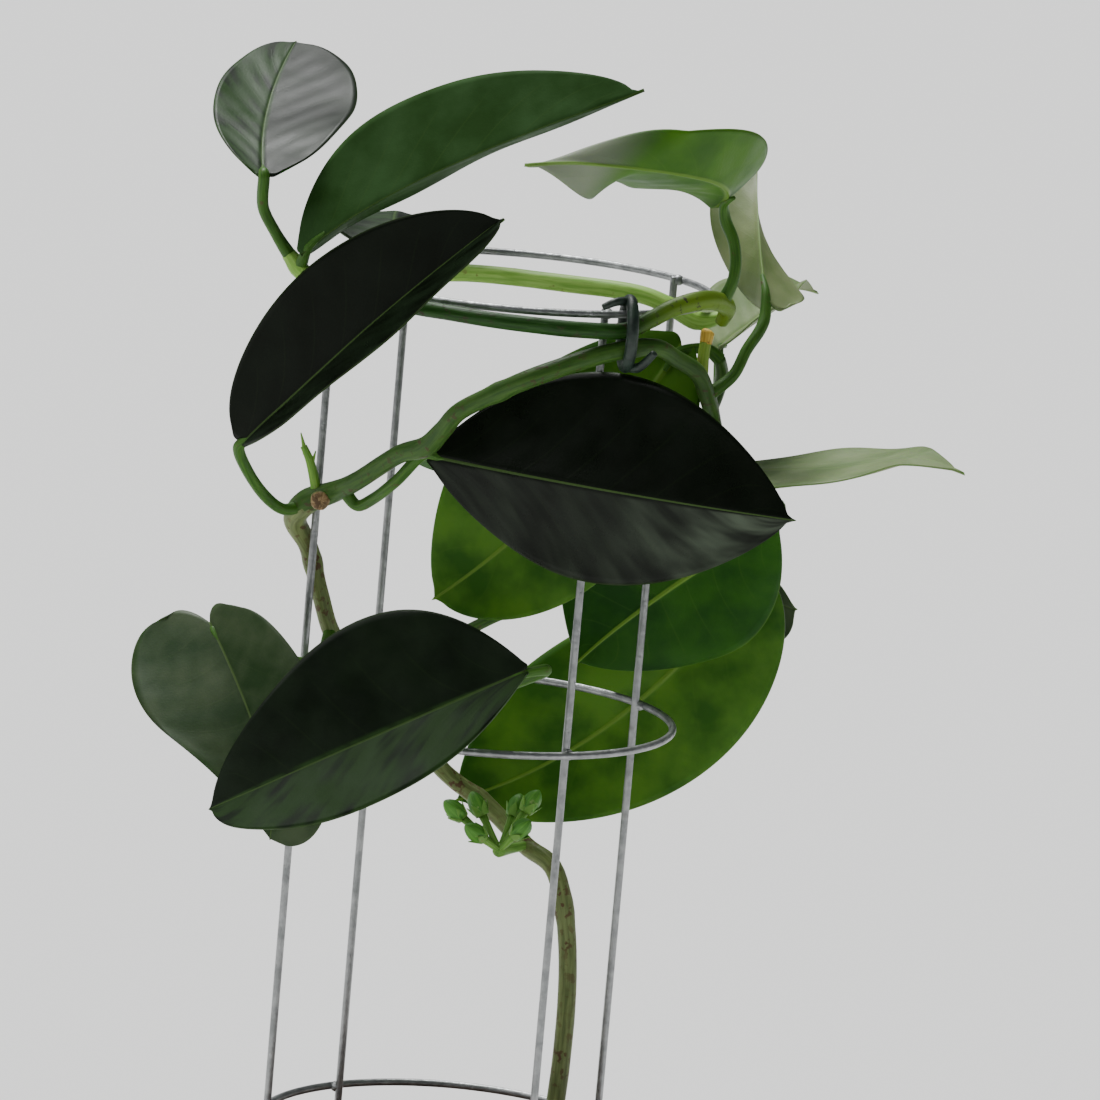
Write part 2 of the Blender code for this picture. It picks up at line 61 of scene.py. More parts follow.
# A pale floor and soft studio light. The main light comes from above and behind, as from a window beyond the
# plant, so that the leaves which face the viewer stay dark and the ones seen from below glow.
def add_node(tree, kind, values=None, **settings):
    """A shader node of this kind, with its settings, and values or other nodes' outputs for its inputs."""
    made = tree.nodes.new("ShaderNode" + kind)
    for name, value in settings.items():
        setattr(made, name, value)
    for socket, value in (values or {}).items():
        if isinstance(value, bpy.types.NodeSocket):
            tree.links.new(value, made.inputs[socket])
        else:
            made.inputs[socket].default_value = value
    return made


def plain_finish(name, colour, roughness, metallic=0.0, specular=0.5):
    """A material with one Principled shader: the material, its node tree and the shader."""
    made = bpy.data.materials.new(name)
    made.use_nodes = True
    shader = made.node_tree.nodes["Principled BSDF"]
    shader.inputs["Base Color"].default_value = (*colour, 1)
    shader.inputs["Roughness"].default_value = roughness
    shader.inputs["Metallic"].default_value = metallic
    shader.inputs["Specular IOR Level"].default_value = specular
    return made, made.node_tree, shader


def placed(name, shape):
    """Turns the shape into an object of the scene."""
    mesh = bpy.data.meshes.new(name)
    shape.to_mesh(mesh)
    shape.free()
    made = bpy.data.objects.new(name, mesh)
    bpy.context.scene.collection.objects.link(made)
    return made


FLOOR_HALF = 8.0
floor_shape = bmesh.new()
bmesh.ops.create_grid(floor_shape, x_segments=1, y_segments=1, size=FLOOR_HALF)
floor = placed("floor", floor_shape)
floor.data.materials.append(plain_finish("pale_floor", (0.86, 0.86, 0.85), 0.9, specular=0.1)[0])


def sun(name, azimuth, elevation, strength, softness):
    """A far light: azimuth 0 shines from the viewer's side, 90 from the right and 180 from behind."""
    data = bpy.data.lights.new(name, "SUN")
    data.energy = strength
    data.angle = math.radians(softness)
    made = bpy.data.objects.new(name, data)
    a, e = math.radians(azimuth), math.radians(elevation)
    source = Vector((math.sin(a) * math.cos(e), -math.cos(a) * math.cos(e), math.sin(e)))
    made.rotation_mode = "QUATERNION"
    made.rotation_quaternion = source.to_track_quat("Z", "Y")
    bpy.context.scene.collection.objects.link(made)


sun("window_light", 200, 62, 4.2, 25)
sun("side_fill", -70, 47, 1.3, 50)
world = bpy.data.worlds.new("studio")
world.use_nodes = True
world.node_tree.nodes["Background"].inputs["Color"].default_value = (0.80, 0.84, 0.90, 1)
world.node_tree.nodes["Background"].inputs["Strength"].default_value = 0.14
bpy.context.scene.world = world


# The pot is a plain nursery pot, thin moulded plastic in a terracotta brown, with a band round its rim and a
# ring of drain holes in its floor. It is turned from one profile, and the holes are drilled through.
MM = 0.001
POT_HEIGHT = 110 * MM
POT_BASE_RADIUS = 46 * MM
POT_TOP_RADIUS = 60 * MM
POT_RIM_RADIUS = 64 * MM
POT_RIM_DEPTH = 18 * MM
POT_WALL = 2 * MM
POT_FLOOR = 3 * MM
DRAIN_HOLES = 6
DRAIN_HOLE_RADIUS = 4 * MM
DRAIN_CIRCLE_RADIUS = 33 * MM
POT_STEPS = 144


def finished_piece(name, shape, materials, nodes):
    """Makes the shape a smooth piece on the plant's one body, standing for these nodes of the frame."""
    made = placed(name, shape)
    made.data.shade_smooth()
    for material in materials:
        made.data.materials.append(material)
    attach(made, "root")
    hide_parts(*nodes)
    return made


def polar(radius, angle, height):
    """The point at this distance from the pot's axis, this way round from +X and this high."""
    return radius * math.cos(angle), radius * math.sin(angle), height


def faces_of(vertices):
    """The faces that meet at any of these vertices."""
    return list(dict.fromkeys(face for vertex in vertices for face in vertex.link_faces))


def spun(shape, outline, steps):
    """Spins the outline's points and edges about Z into a closed surface that faces outwards."""
    turn = {"axis": (0, 0, 1), "cent": (0, 0, 0), "angle": math.tau}
    bmesh.ops.spin(shape, geom=outline, steps=steps, use_merge=True, **turn)
    bmesh.ops.remove_doubles(shape, verts=shape.verts, dist=0.002 * MM)
    bmesh.ops.recalc_face_normals(shape, faces=shape.faces)


def turned_shape(profile, steps):
    """A surface of revolution from a profile of radius and height."""
    shape = bmesh.new()
    points = [shape.verts.new((radius, 0, height)) for radius, height in profile]
    edges = [shape.edges.new(pair) for pair in zip(points, points[1:])]
    spun(shape, points + edges, steps)
    return shape


def cylinder(shape, radius, length, sides, middle):
    """Adds an upright closed cylinder whose middle is at this place."""
    size = {"radius1": radius, "radius2": radius, "depth": length}
    place = Matrix.Translation(middle)
    bmesh.ops.create_cone(shape, cap_ends=True, segments=sides, matrix=place, **size)


def pot_radius(height):
    """The outside radius of the pot's tapered wall at this height."""
    taper = (POT_TOP_RADIUS - POT_BASE_RADIUS) / (POT_HEIGHT - POT_RIM_DEPTH)
    return POT_BASE_RADIUS + taper * height


def rounded(corner, before, after, reach, steps=4):
    """Points of a smooth bend that replaces a profile's corner, starting reach away on each side."""
    corner, before, after = Vector(corner), Vector(before), Vector(after)
    start = corner + (before - corner).normalized() * reach
    end = corner + (after - corner).normalized() * reach
    bend = []
    for step in range(steps + 1):
        t = step / steps
        point = start * (1 - t) ** 2 + corner * 2 * t * (1 - t) + end * t**2
        bend.append((point.x, point.y))
    return bend


def rounded_profile(corners, reaches):
    """The corners' profile with each inner corner bent over its own reach."""
    profile = [corners[0]]
    for before, corner, after, reach in zip(corners, corners[1:], corners[2:], reaches):
        profile += rounded(corner, before, after, reach) if reach else [corner]
    return [*profile, corners[-1]]


def ramped(tree, value, ends, **settings):
    """The value, mapped between the ends given, which are 0 and 1 where nothing is said."""
    return add_node(tree, "MapRange", {"Value": value, **ends}, **settings).outputs["Result"]


def clouded(tree, scale, detail=3.0, low=0.4, high=0.6):
    """A noise in the piece's own coordinates, stretched so that low and high are its ends."""
    place = add_node(tree, "TexCoord").outputs["Object"]
    cloud = add_node(tree, "TexNoise", {"Vector": place, "Scale": scale, "Detail": detail})
    return ramped(tree, cloud.outputs["Fac"], {"From Min": low, "From Max": high})


def mixed(tree, share, first, second):
    """A colour between two, each given as a colour or as a node's output."""
    first, second = ((*value, 1) if isinstance(value, tuple) else value for value in (first, second))
    return add_node(tree, "Mix", {0: share, 6: first, 7: second}, data_type="RGBA").outputs[2]


def arithmetic(tree, operation, *values):
    """The result of a maths node on one to three values or outputs."""
    return add_node(tree, "Math", dict(enumerate(values)), operation=operation).outputs[0]


def product(tree, one, other):
    """Two values or outputs, multiplied."""
    return arithmetic(tree, "MULTIPLY", one, other)


def roughened(tree, shader, height, depth, low, high):
    """Takes the shader's bump from a height, and spreads its roughness between low and high with it."""
    bump = add_node(tree, "Bump", {"Strength": 1.0, "Distance": depth, "Height": height})
    tree.links.new(bump.outputs["Normal"], shader.inputs["Normal"])
    tree.links.new(ramped(tree, height, {"To Min": low, "To Max": high}), shader.inputs["Roughness"])


shoulder = POT_HEIGHT - POT_RIM_DEPTH
pot_corners = (
    (0, POT_FLOOR),
    (pot_radius(POT_FLOOR) - POT_WALL, POT_FLOOR),
    (pot_radius(shoulder) - POT_WALL, shoulder),
    (POT_RIM_RADIUS - POT_WALL, POT_HEIGHT - 1.5 * MM),
    (POT_RIM_RADIUS - POT_WALL / 2, POT_HEIGHT),
    (POT_RIM_RADIUS, POT_HEIGHT - MM),
    (POT_RIM_RADIUS - 0.6 * MM, shoulder),
    (pot_radius(shoulder), shoulder - 1.2 * MM),
    (POT_BASE_RADIUS + 0.3 * MM, 0),
    (0, 0),
)
pot_reaches = (2.5 * MM, 3 * MM, 0.8 * MM, 0.9 * MM, 0.8 * MM, 0.6 * MM, 0.9 * MM, 1.6 * MM)
pot_shape = turned_shape(rounded_profile(pot_corners, pot_reaches), POT_STEPS)
pot_finish, pot_tree, pot_shader = plain_finish("pot_plastic", (0.30, 0.10, 0.05), 0.5)
pot_tint = mixed(pot_tree, clouded(pot_tree, 28), (0.27, 0.088, 0.042), (0.36, 0.125, 0.062))
dusty = clouded(pot_tree, 160, 7.0, 0.50, 0.95)
pot_tree.links.new(mixed(pot_tree, dusty, pot_tint, (0.38, 0.19, 0.12)), pot_shader.inputs["Base Color"])
roughened(pot_tree, pot_shader, clouded(pot_tree, 420, 4.0, 0.2, 0.8), 0.08 * MM, 0.42, 0.62)
pot = finished_piece("nursery_pot", pot_shape, [pot_finish], ["pot"])

drill_shape = bmesh.new()
for number in range(DRAIN_HOLES):
    turn = math.tau * number / DRAIN_HOLES
    cylinder(drill_shape, DRAIN_HOLE_RADIUS, POT_FLOOR * 4, 32, polar(DRAIN_CIRCLE_RADIUS, turn, 0))
drill = placed("drain_drill", drill_shape)
holes = pot.modifiers.new("drain_holes", "BOOLEAN")
holes.operation = "DIFFERENCE"
holes.solver = "EXACT"
holes.object = drill
bpy.context.view_layer.update()
drilled = bpy.data.meshes.new_from_object(pot.evaluated_get(bpy.context.evaluated_depsgraph_get()))
pot.modifiers.clear()
pot.data = drilled
drilled.shade_smooth()
bpy.data.objects.remove(drill, do_unlink=True)


# The potting mix fills the pot to a finger's width under its rim: dark peat with bark chips and white grains
# of perlite lying on it. The stem and the cage's wires are pushed into it.
SOIL_EDGE_HEIGHT = 96 * MM
SOIL_CROWN = 3 * MM
SOIL_GAP = 0.3 * MM
SOIL_RINGS = 34
SOIL_STEPS = 160
SMOOTH_RIM = 4 * MM  # the soil's lumps fade out over this distance from the pot
BARK_CHIPS = 230
CHIP_SIZES = (1.2, 3.4)
CHIP_FLATNESS = (0.25, 0.5)
PERLITE_GRAINS = 90
GRAIN_SIZES = (0.7, 1.5)
GRAIN_FLATNESS = (0.7, 1.0)
scatter = random.Random(11)
noise.seed_set(11)

soil_floor = POT_FLOOR + SOIL_GAP
soil_edge = pot_radius(SOIL_EDGE_HEIGHT) - POT_WALL - SOIL_GAP - MM


def soil_height(radius):
    """The height of the smooth soil surface at this distance from the pot's axis."""
    return SOIL_EDGE_HEIGHT + SOIL_CROWN * (1 - (radius / soil_edge) ** 2)


soil_radii = [soil_edge * step / SOIL_RINGS for step in range(SOIL_RINGS)]
soil_top = [(radius, soil_height(radius)) for radius in soil_radii]
soil_side = (
    (soil_edge, SOIL_EDGE_HEIGHT),
    (pot_radius(shoulder - 2 * MM) - POT_WALL - SOIL_GAP, shoulder - 2 * MM),
    (pot_radius(soil_floor) - POT_WALL - SOIL_GAP, soil_floor),
    (0, soil_floor),
)
soil_shape = turned_shape([*soil_top, *soil_side], SOIL_STEPS)
for vertex in soil_shape.verts:
    if vertex.co.z >= SOIL_EDGE_HEIGHT - 0.1 * MM:
        near_rim = max(0, 1 - (soil_edge - vertex.co.xy.length) / SMOOTH_RIM)
        lumps = 1.3 * noise.noise(vertex.co * 150) + 0.8 * noise.noise(vertex.co * 420)
        vertex.co.z += lumps * MM * (1 - near_rim)
for number in range(BARK_CHIPS + PERLITE_GRAINS):
    bark = number < BARK_CHIPS
    reach = (soil_edge - SMOOTH_RIM) * math.sqrt(scatter.random())
    turn = scatter.uniform(0, math.tau)
    size = scatter.uniform(*(CHIP_SIZES if bark else GRAIN_SIZES))
    flatness = scatter.uniform(*(CHIP_FLATNESS if bark else GRAIN_FLATNESS))
    length = scatter.uniform(1.0, 1.8) if bark else 1.0
    place = Matrix.Translation(polar(reach, turn, soil_height(reach) + 0.3 * MM))
    place = place @ Matrix.Rotation(scatter.uniform(0, math.tau), 4, "Z")
    place = place @ Matrix.Rotation(scatter.uniform(-0.5, 0.5), 4, "X")
    place = place @ Matrix.Diagonal((size * length * MM, size * 0.7 * MM, size * flatness * MM, 1))
    made = bmesh.ops.create_icosphere(soil_shape, subdivisions=2, radius=1, matrix=place)["verts"]
    for vertex in made:
        vertex.co += Vector(noise.noise_vector(vertex.co * 900)) * 0.25 * size * MM
    for face in faces_of(made):
        face.material_index = 1 if bark else 2


def crumbly(name, low, high, scale, depth):
    """A rough, dull finish between two colours, with grain of this scale and depth."""
    made, tree, shader = plain_finish(name, low, 0.95, specular=0.2)
    tree.links.new(mixed(tree, clouded(tree, scale, 6.0, 0.35, 0.65), low, high), shader.inputs["Base Color"])
    roughened(tree, shader, clouded(tree, scale * 3, 8.0, 0.25, 0.75), depth, 0.85, 1.0)
    return made


soil_materials = [
    crumbly("damp_peat", (0.018, 0.011, 0.007), (0.060, 0.036, 0.022), 260, 0.8 * MM),
    crumbly("bark_chip", (0.050, 0.024, 0.012), (0.150, 0.078, 0.040), 420, 0.3 * MM),
    crumbly("perlite", (0.50, 0.48, 0.43), (0.80, 0.79, 0.75), 600, 0.15 * MM),
]
finished_piece("potting_mix", soil_shape, soil_materials, ["soil"])


# The cage is 2 mm galvanised wire: three rings, and four uprights spot-welded inside them. Each crossing has
# a small squashed bead of weld, and the zinc is dull and mottled.
WIRE_RADIUS = 1 * MM
RING_RADIUS = 50 * MM
RING_HEIGHTS = {"ring_low": 121.5 * MM, "ring_middle": 236 * MM, "ring_top": 350.5 * MM}
UPRIGHT_ANGLES = {"upright_front": -62, "upright_right": 33, "upright_back": 129, "upright_left": 182}
UPRIGHT_CIRCLE_RADIUS = RING_RADIUS - 2 * WIRE_RADIUS - 0.3 * MM
UPRIGHT_FOOT = 50 * MM
UPRIGHT_TOP = RING_HEIGHTS["ring_top"] + WIRE_RADIUS
WELD_RADIUS = 1.45 * MM
WELD_SQUASH = Matrix.Diagonal((1.15, 1.2, 1.0, 1))
RING_STEPS = 160
RING_SIDES = 14

wire_finish, wire_tree, wire_shader = plain_finish("galvanised_wire", (0.42, 0.43, 0.42), 0.4, metallic=0.85)
zinc = mixed(wire_tree, clouded(wire_tree, 260, 4.0, 0.35, 0.65), (0.24, 0.25, 0.25), (0.38, 0.39, 0.39))
grime = clouded(wire_tree, 90, 5.0, 0.66, 0.80)
wire_tree.links.new(mixed(wire_tree, grime, zinc, (0.13, 0.12, 0.10)), wire_shader.inputs["Base Color"])
roughened(wire_tree, wire_shader, clouded(wire_tree, 900, 5.0, 0.2, 0.8), 0.12 * MM, 0.30, 0.55)


def weld_bead(shape, angle, height):
    """A squashed blob between a ring and the upright inside it."""
    middle = RING_RADIUS - WIRE_RADIUS - 0.1 * MM
    place = Matrix.Translation(polar(middle, angle, height))
    place = place @ Matrix.Rotation(angle, 4, "Z") @ WELD_SQUASH
    made = bmesh.ops.create_icosphere(shape, subdivisions=3, radius=WELD_RADIUS, matrix=place)["verts"]
    for vertex in made:
        vertex.co += Vector(noise.noise_vector(vertex.co * 700)) * 0.18 * MM


for name, height in RING_HEIGHTS.items():
    ring_shape = bmesh.new()
    stand = Matrix.Translation((RING_RADIUS, 0, height)) @ Matrix.Rotation(math.pi / 2, 4, "X")
    circle = bmesh.ops.create_circle(ring_shape, segments=RING_SIDES, radius=WIRE_RADIUS, matrix=stand)
    section = circle["verts"]
    edges = list(dict.fromkeys(edge for vertex in section for edge in vertex.link_edges))
    spun(ring_shape, section + edges, RING_STEPS)
    for degrees in UPRIGHT_ANGLES.values():
        weld_bead(ring_shape, math.radians(degrees), height)
    finished_piece("wire_" + name, ring_shape, [wire_finish], [name])

for name, degrees in UPRIGHT_ANGLES.items():
    wire_shape = bmesh.new()
    angle = math.radians(degrees)
    middle = polar(UPRIGHT_CIRCLE_RADIUS, angle, (UPRIGHT_FOOT + UPRIGHT_TOP) / 2)
    cylinder(wire_shape, WIRE_RADIUS, UPRIGHT_TOP - UPRIGHT_FOOT, 16, middle)
    end_edges = [edge for edge in wire_shape.edges if edge.calc_length() < WIRE_RADIUS]
    bmesh.ops.bevel(
        wire_shape, geom=end_edges, offset=0.35 * MM, affect="EDGES", segments=3, profile=0.5, material=-1
    )
    finished_piece("wire_" + name, wire_shape, [wire_finish], [name])


# The vine's stems are green and woody, with fine brown flecks and lengthwise streaks, and swell at their
# joints. Each follows the same route as its solid: x, y, z and radius in millimetres.
STEMS = {
    "main": (
        (27, 20, 30, 2.6), (27, 20, 80, 2.6), (27, 20, 104, 2.6), (29, 22, 140, 2.5), (28, 25, 168, 2.5),
        (23, 26, 188.5, 2.5), (14, 31, 194.5, 2.5), (3, 37, 203, 2.4), (-6, 38, 208.5, 2.3),
        (-12, 36, 214, 2.3), (-23, 26, 228, 2.3), (-35, 12, 244, 2.3), (-41, 6, 252, 2.3),
        (-45, 3.5, 263, 2.3), (-49, 3, 275, 2.5), (-53, -1, 283, 3.0), (-50, -7, 289, 3.3),
        (-43, -11, 293, 2.8), (-37, -20, 298, 2.4), (-27, -31, 307.5, 2.4), (-20, -38, 311.5, 2.7),
        (-16, -43, 317, 2.4), (-12, -47.5, 323, 2.3), (-2.5, -52, 329.5, 2.3), (5, -54.5, 334, 2.4),
        (17, -51, 339, 2.4), (27, -47, 342, 2.3), (36, -43, 343, 2.2), (41, -38, 340, 2.2),
        (47, -33, 336, 2.2), (50, -28, 330, 2.2), (52, -22, 324, 2.1), (54, -16, 316, 1.9),
        (55, -12, 308, 1.4),
    ),
    "climber": (
        (-25.2, 18, 237, 1.1), (-15, 10, 249, 1.5), (0, 5, 260, 1.5), (9, 3, 265, 1.5), (22, 5, 275, 1.6),
        (36, 8, 292, 1.7), (46, 8, 309, 1.8), (52, 0, 321, 1.8), (54, -9, 331, 1.8), (53, -15, 337, 1.5),
    ),
    "ring": (
        (-55, -11, 348.5, 1.5), (-52.5, -18, 348.5, 2.0), (-46.5, -28, 348, 2.0), (-35, -41, 348.5, 2.0),
        (-22, -49, 348.5, 2.0), (-8, -53, 348, 2.0), (5, -53.5, 347.5, 2.1), (17, -51, 347, 2.1),
        (28, -46, 347.1, 2.1), (34, -43.5, 350, 2.2), (39.5, -39.5, 353, 2.3), (46, -34, 354.5, 2.5),
        (50.5, -28.5, 354, 2.5), (53.5, -22, 351.5, 2.3), (52.5, -19, 347.5, 1.7),
    ),
    "cross": (
        (-60, -1, 352, 2.0), (-54.5, -5.5, 347.4, 2.3), (-46, -8, 346.5, 2.3), (-30, -9, 350, 2.3),
        (-14, -8, 352.5, 2.3), (16, -12, 352.5, 2.3), (30, -14, 352, 2.3), (38, -15, 350, 2.3),
        (46, -15, 346.5, 2.2), (52.5, -12, 347.5, 1.6),
    ),
}
STEM_STEPS = 7
STEM_SIDES = 20
DOME = ((0.25, 0.94), (0.45, 0.72), (0.55, 0.35))  # a stem's rounded end: how far out, and how wide there
UV_PER_METRE = 20


def smooth_route(route, steps):
    """Points along the Catmull-Rom curve through the route, each with its radius, all in metres."""
    ends = [route[0], *route, route[-1]]
    found = []
    for first, start, end, last in zip(ends, ends[1:], ends[2:], ends[3:]):
        for step in range(steps):
            t = step / steps
            weights = (
                (-t + 2 * t**2 - t**3) / 2,
                (2 - 5 * t**2 + 3 * t**3) / 2,
                (t + 4 * t**2 - 3 * t**3) / 2,
                (t**3 - t**2) / 2,
            )
            four = (first, start, end, last)
            found.append([sum(w * p[i] for w, p in zip(weights, four)) * MM for i in range(4)])
    found.append([value * MM for value in route[-1]])
    return found


def rounded_ends(stations):
    """The stations with a small dome of extra ones at each end."""
    domes = []
    for end, inner in ((stations[0], stations[1]), (stations[-1], stations[-2])):
        tip, radius = Vector(end[:3]), end[3]
        out = (tip - Vector(inner[:3])).normalized()
        domes.append([(*(tip + out * radius * reach), radius * width) for reach, width in DOME])
    return [*reversed(domes[0]), *stations, *domes[1]]


def stem_tube(shape, stations, sides, relief=None, closed=False, material=0):
    """Adds a tube through stations of x, y, z and radius, with its length and girth as UV, and caps its ends.

    relief gives how much further out a point lies, from its distance along the tube and its angle round it.
    """
    uv = shape.loops.layers.uv.verify()
    centres = [Vector(station[:3]) for station in stations]
    count = len(centres)
    upright = None
    hoops, travelled = [], 0.0
    girth = {}
    for index, centre in enumerate(centres):
        if closed:
            ahead = centres[(index + 1) % count] - centres[index - 1]
        else:
            ahead = centres[min(index + 1, count - 1)] - centres[max(index - 1, 0)]
        ahead.normalize()
        if upright is None:
            upright = ahead.orthogonal().normalized()
        upright = (upright - ahead * upright.dot(ahead)).normalized()
        turned = Matrix((upright, ahead.cross(upright), ahead)).transposed().to_4x4()
        place = Matrix.Translation(centre) @ turned
        radius = stations[index][3]
        hoop = bmesh.ops.create_circle(shape, segments=sides, radius=radius, matrix=place)["verts"]
        if index:
            travelled += (centre - centres[index - 1]).length
        for number, vertex in enumerate(hoop):
            around = number / sides
            if relief:
                vertex.co += (vertex.co - centre).normalized() * relief(travelled, around * math.tau, radius)
            girth[vertex] = (travelled, around)
        hoops.append(hoop)
    made = []
    pairs = list(zip(hoops, hoops[1:]))
    if closed:
        pairs.append((hoops[-1], hoops[0]))
    for one, other in pairs:
        for number in range(sides):
            after = (number + 1) % sides
            made.append(shape.faces.new((one[number], one[after], other[after], other[number])))
    if not closed:
        made.append(shape.faces.new(list(reversed(hoops[0]))))
        made.append(shape.faces.new(hoops[-1]))
    for face in made:
        face.material_index = material
        turns = [girth[loop.vert][1] for loop in face.loops]
        for loop, around in zip(face.loops, turns):
            wrapped = around + 1 if max(turns) > 0.75 and around < 0.25 else around
            loop[uv].uv = (girth[loop.vert][0] * UV_PER_METRE, wrapped)
    return made


def bark_relief(depth, seed):
    """Shallow lengthwise ridges that wander, for a stem's skin."""

    def relief(travelled, around, _):
        ridges = math.sin(around * 5 + 1.5 * noise.noise((travelled * 40, seed, 0)))
        lumps = noise.noise((travelled * 120, math.cos(around) * 1.5 + seed, math.sin(around) * 1.5))
        return depth * (0.5 * ridges + lumps)

    return relief


def glowing(shader, weight, radii):
    """Lets light into the surface, as far as these radii in millimetres say for red, green and blue."""
    shader.inputs["Subsurface Weight"].default_value = weight
    shader.inputs["Subsurface Radius"].default_value = Vector(radii) * MM
    shader.inputs["Subsurface Scale"].default_value = 1.0


def stem_finish(name, low, high, fleck, flecks, turns=None):
    """Green skin with streaks along the stem and brown flecks, all from the tube's own UV and coordinates.

    turns gives a colour that the skin turns to, and the two places along X between which it does.
    """
    made, tree, shader = plain_finish(name, low, 0.5, specular=0.25)
    glowing(shader, 0.08, (0.4, 1.0, 0.2))
    own = add_node(tree, "TexCoord").outputs
    stretch = add_node(tree, "Mapping", {"Vector": own["UV"], "Scale": (3.0, 9.0, 1.0)})
    streak = add_node(tree, "TexNoise", {"Vector": stretch.outputs["Vector"], "Scale": 2.0, "Detail": 4.0})
    streaks = ramped(tree, streak.outputs["Fac"], {"From Min": 0.36, "From Max": 0.64})
    skin = mixed(tree, streaks, low, high)
    if turns:
        place = add_node(tree, "SeparateXYZ", {"Vector": own["Object"]})
        turned = ramped(tree, place.outputs["X"], {"From Min": turns[1], "From Max": turns[2]})
        skin = mixed(tree, turned, skin, turns[0])
    spots = clouded(tree, 520, 3.0, flecks, flecks + 0.06)
    patches = product(tree, spots, clouded(tree, 90, 2.0, 0.40, 0.60))
    tree.links.new(mixed(tree, patches, skin, fleck), shader.inputs["Base Color"])
    grain = arithmetic(tree, "ADD", streak.outputs["Fac"], product(tree, spots, 0.3))
    roughened(tree, shader, grain, 0.12 * MM, 0.38, 0.60)
    return made


old_stem = stem_finish("old_stem", (0.11, 0.145, 0.045), (0.20, 0.25, 0.085), (0.10, 0.060, 0.026), 0.54)
green_stem = stem_finish("green_stem", (0.026, 0.08, 0.01), (0.055, 0.13, 0.018), (0.06, 0.055, 0.018), 0.58)
# The ring stem's skin is a darker copy of the green stem's: painted shade for the stretch of vine that runs
# in shadow along the front of the ring.
ring_curl = ((0.13, 0.23, 0.015), 30 * MM, 44 * MM)
shaded_stem = stem_finish(
    "shaded_stem", (0.008, 0.044, 0.003), (0.020, 0.078, 0.008), (0.035, 0.034, 0.014), 0.58, turns=ring_curl
)
young_stem = stem_finish("young_stem", (0.20, 0.42, 0.055), (0.34, 0.58, 0.12), (0.22, 0.27, 0.06), 0.64)
STEM_SKINS = {"main": green_stem, "climber": green_stem, "ring": shaded_stem, "cross": young_stem}
OLD_WOOD_TOP = 287 * MM  # below the fork the main stem is older and browner
SWELLING = 0.16
SWELLING_REACH = 2.2 * MM
SWELLINGS = {
    "main": (0.150, 0.190, 0.283, 0.385, 0.422),
    "climber": (0.045, 0.085),
    "ring": (0.155,),
    "cross": (0.004, 0.112),
}


def swollen(stations, places):
    """The stations with a slight swelling, as at a leaf joint, at each distance along the stem in metres."""
    travelled = 0.0
    found = [list(stations[0])]
    for before, station in zip(stations, stations[1:]):
        travelled += (Vector(station[:3]) - Vector(before[:3])).length
        swell = sum(math.exp(-(((travelled - place) / SWELLING_REACH) ** 2)) for place in places)
        found.append([*station[:3], station[3] * (1 + SWELLING * swell)])
    return found


# The fork's pruning scar is a short stump with a tan, cracked cut face towards the viewer.
SCAR = (
    (-46.3, -13.9, 290.5, 1.3), (-46.4, -13.6, 290.5, 2.1), (-46.5, -12.8, 290.5, 2.5),
    (-46.5, -11, 290.5, 2.6), (-47.5, -7, 290.5, 2.0),
)
SCAR_FACE = -12.9 * MM
scar_finish = stem_finish("pruning_scar", (0.20, 0.12, 0.05), (0.42, 0.29, 0.14), (0.07, 0.04, 0.02), 0.50)

for seed, (name, route) in enumerate(STEMS.items()):
    stem_shape = bmesh.new()
    stations = rounded_ends(swollen(smooth_route(route, STEM_STEPS), SWELLINGS[name]))
    faces = stem_tube(stem_shape, stations, STEM_SIDES, bark_relief(0.10 * MM, seed * 7.3))
    skins = [STEM_SKINS[name]]
    if name == "main":
        skins += [old_stem, scar_finish]
        old_wood = [face for face in faces if face.calc_center_median().z < OLD_WOOD_TOP]
        stump = [[value * MM for value in station] for station in SCAR]
        rim = stem_tube(stem_shape, stump, 18, bark_relief(0.2 * MM, 3.1), material=2)
        old_wood += [face for face in rim if face.calc_center_median().y > SCAR_FACE]
        for face in old_wood:
            face.material_index = 1
    finished_piece("stem_" + name, stem_shape, skins, ["vine_" + name])


# Two short shoots: one snapped off above the fork, bright green with a torn tip, and one cut back to a stub,
# whose dried cut has turned orange.
BROKEN_SHOOT = (
    (-47.6, -8.5, 291, 1.5), (-48.3, -9.3, 294.2, 1.35), (-50, -10, 300, 1.15), (-52, -10.4, 304, 0.9),
)
BROKEN_TIPS = (
    ((-51.3, -10.3, 302, 0.8), (-53, -10.5, 307.5, 0.15)),
    ((-49.6, -10, 299, 0.7), (-48.8, -10, 303, 0.15)),
)
CUT_STUB = (
    (48.3, -27.2, 331.8, 1.7), (48.5, -26, 333.3, 1.6), (48.5, -25, 339, 1.5), (48.8, -24.4, 342.5, 1.5),
)
CUT_FACE = ((48.8, -24.4, 342.2, 1.55), (49, -24, 345, 1.75), (49.2, -23.8, 345.8, 0.9))

shoot_green = stem_finish("shoot_green", (0.10, 0.26, 0.03), (0.22, 0.42, 0.06), (0.25, 0.30, 0.10), 0.62)
torn_shape = bmesh.new()
stem_tube(torn_shape, smooth_route(BROKEN_SHOOT, 5), 14, bark_relief(0.12 * MM, 1.7))
for tip in BROKEN_TIPS:
    stem_tube(torn_shape, smooth_route(tip, 4), 10, bark_relief(0.12 * MM, 4.1))
finished_piece("snapped_shoot", torn_shape, [shoot_green], ["broken_shoot"])

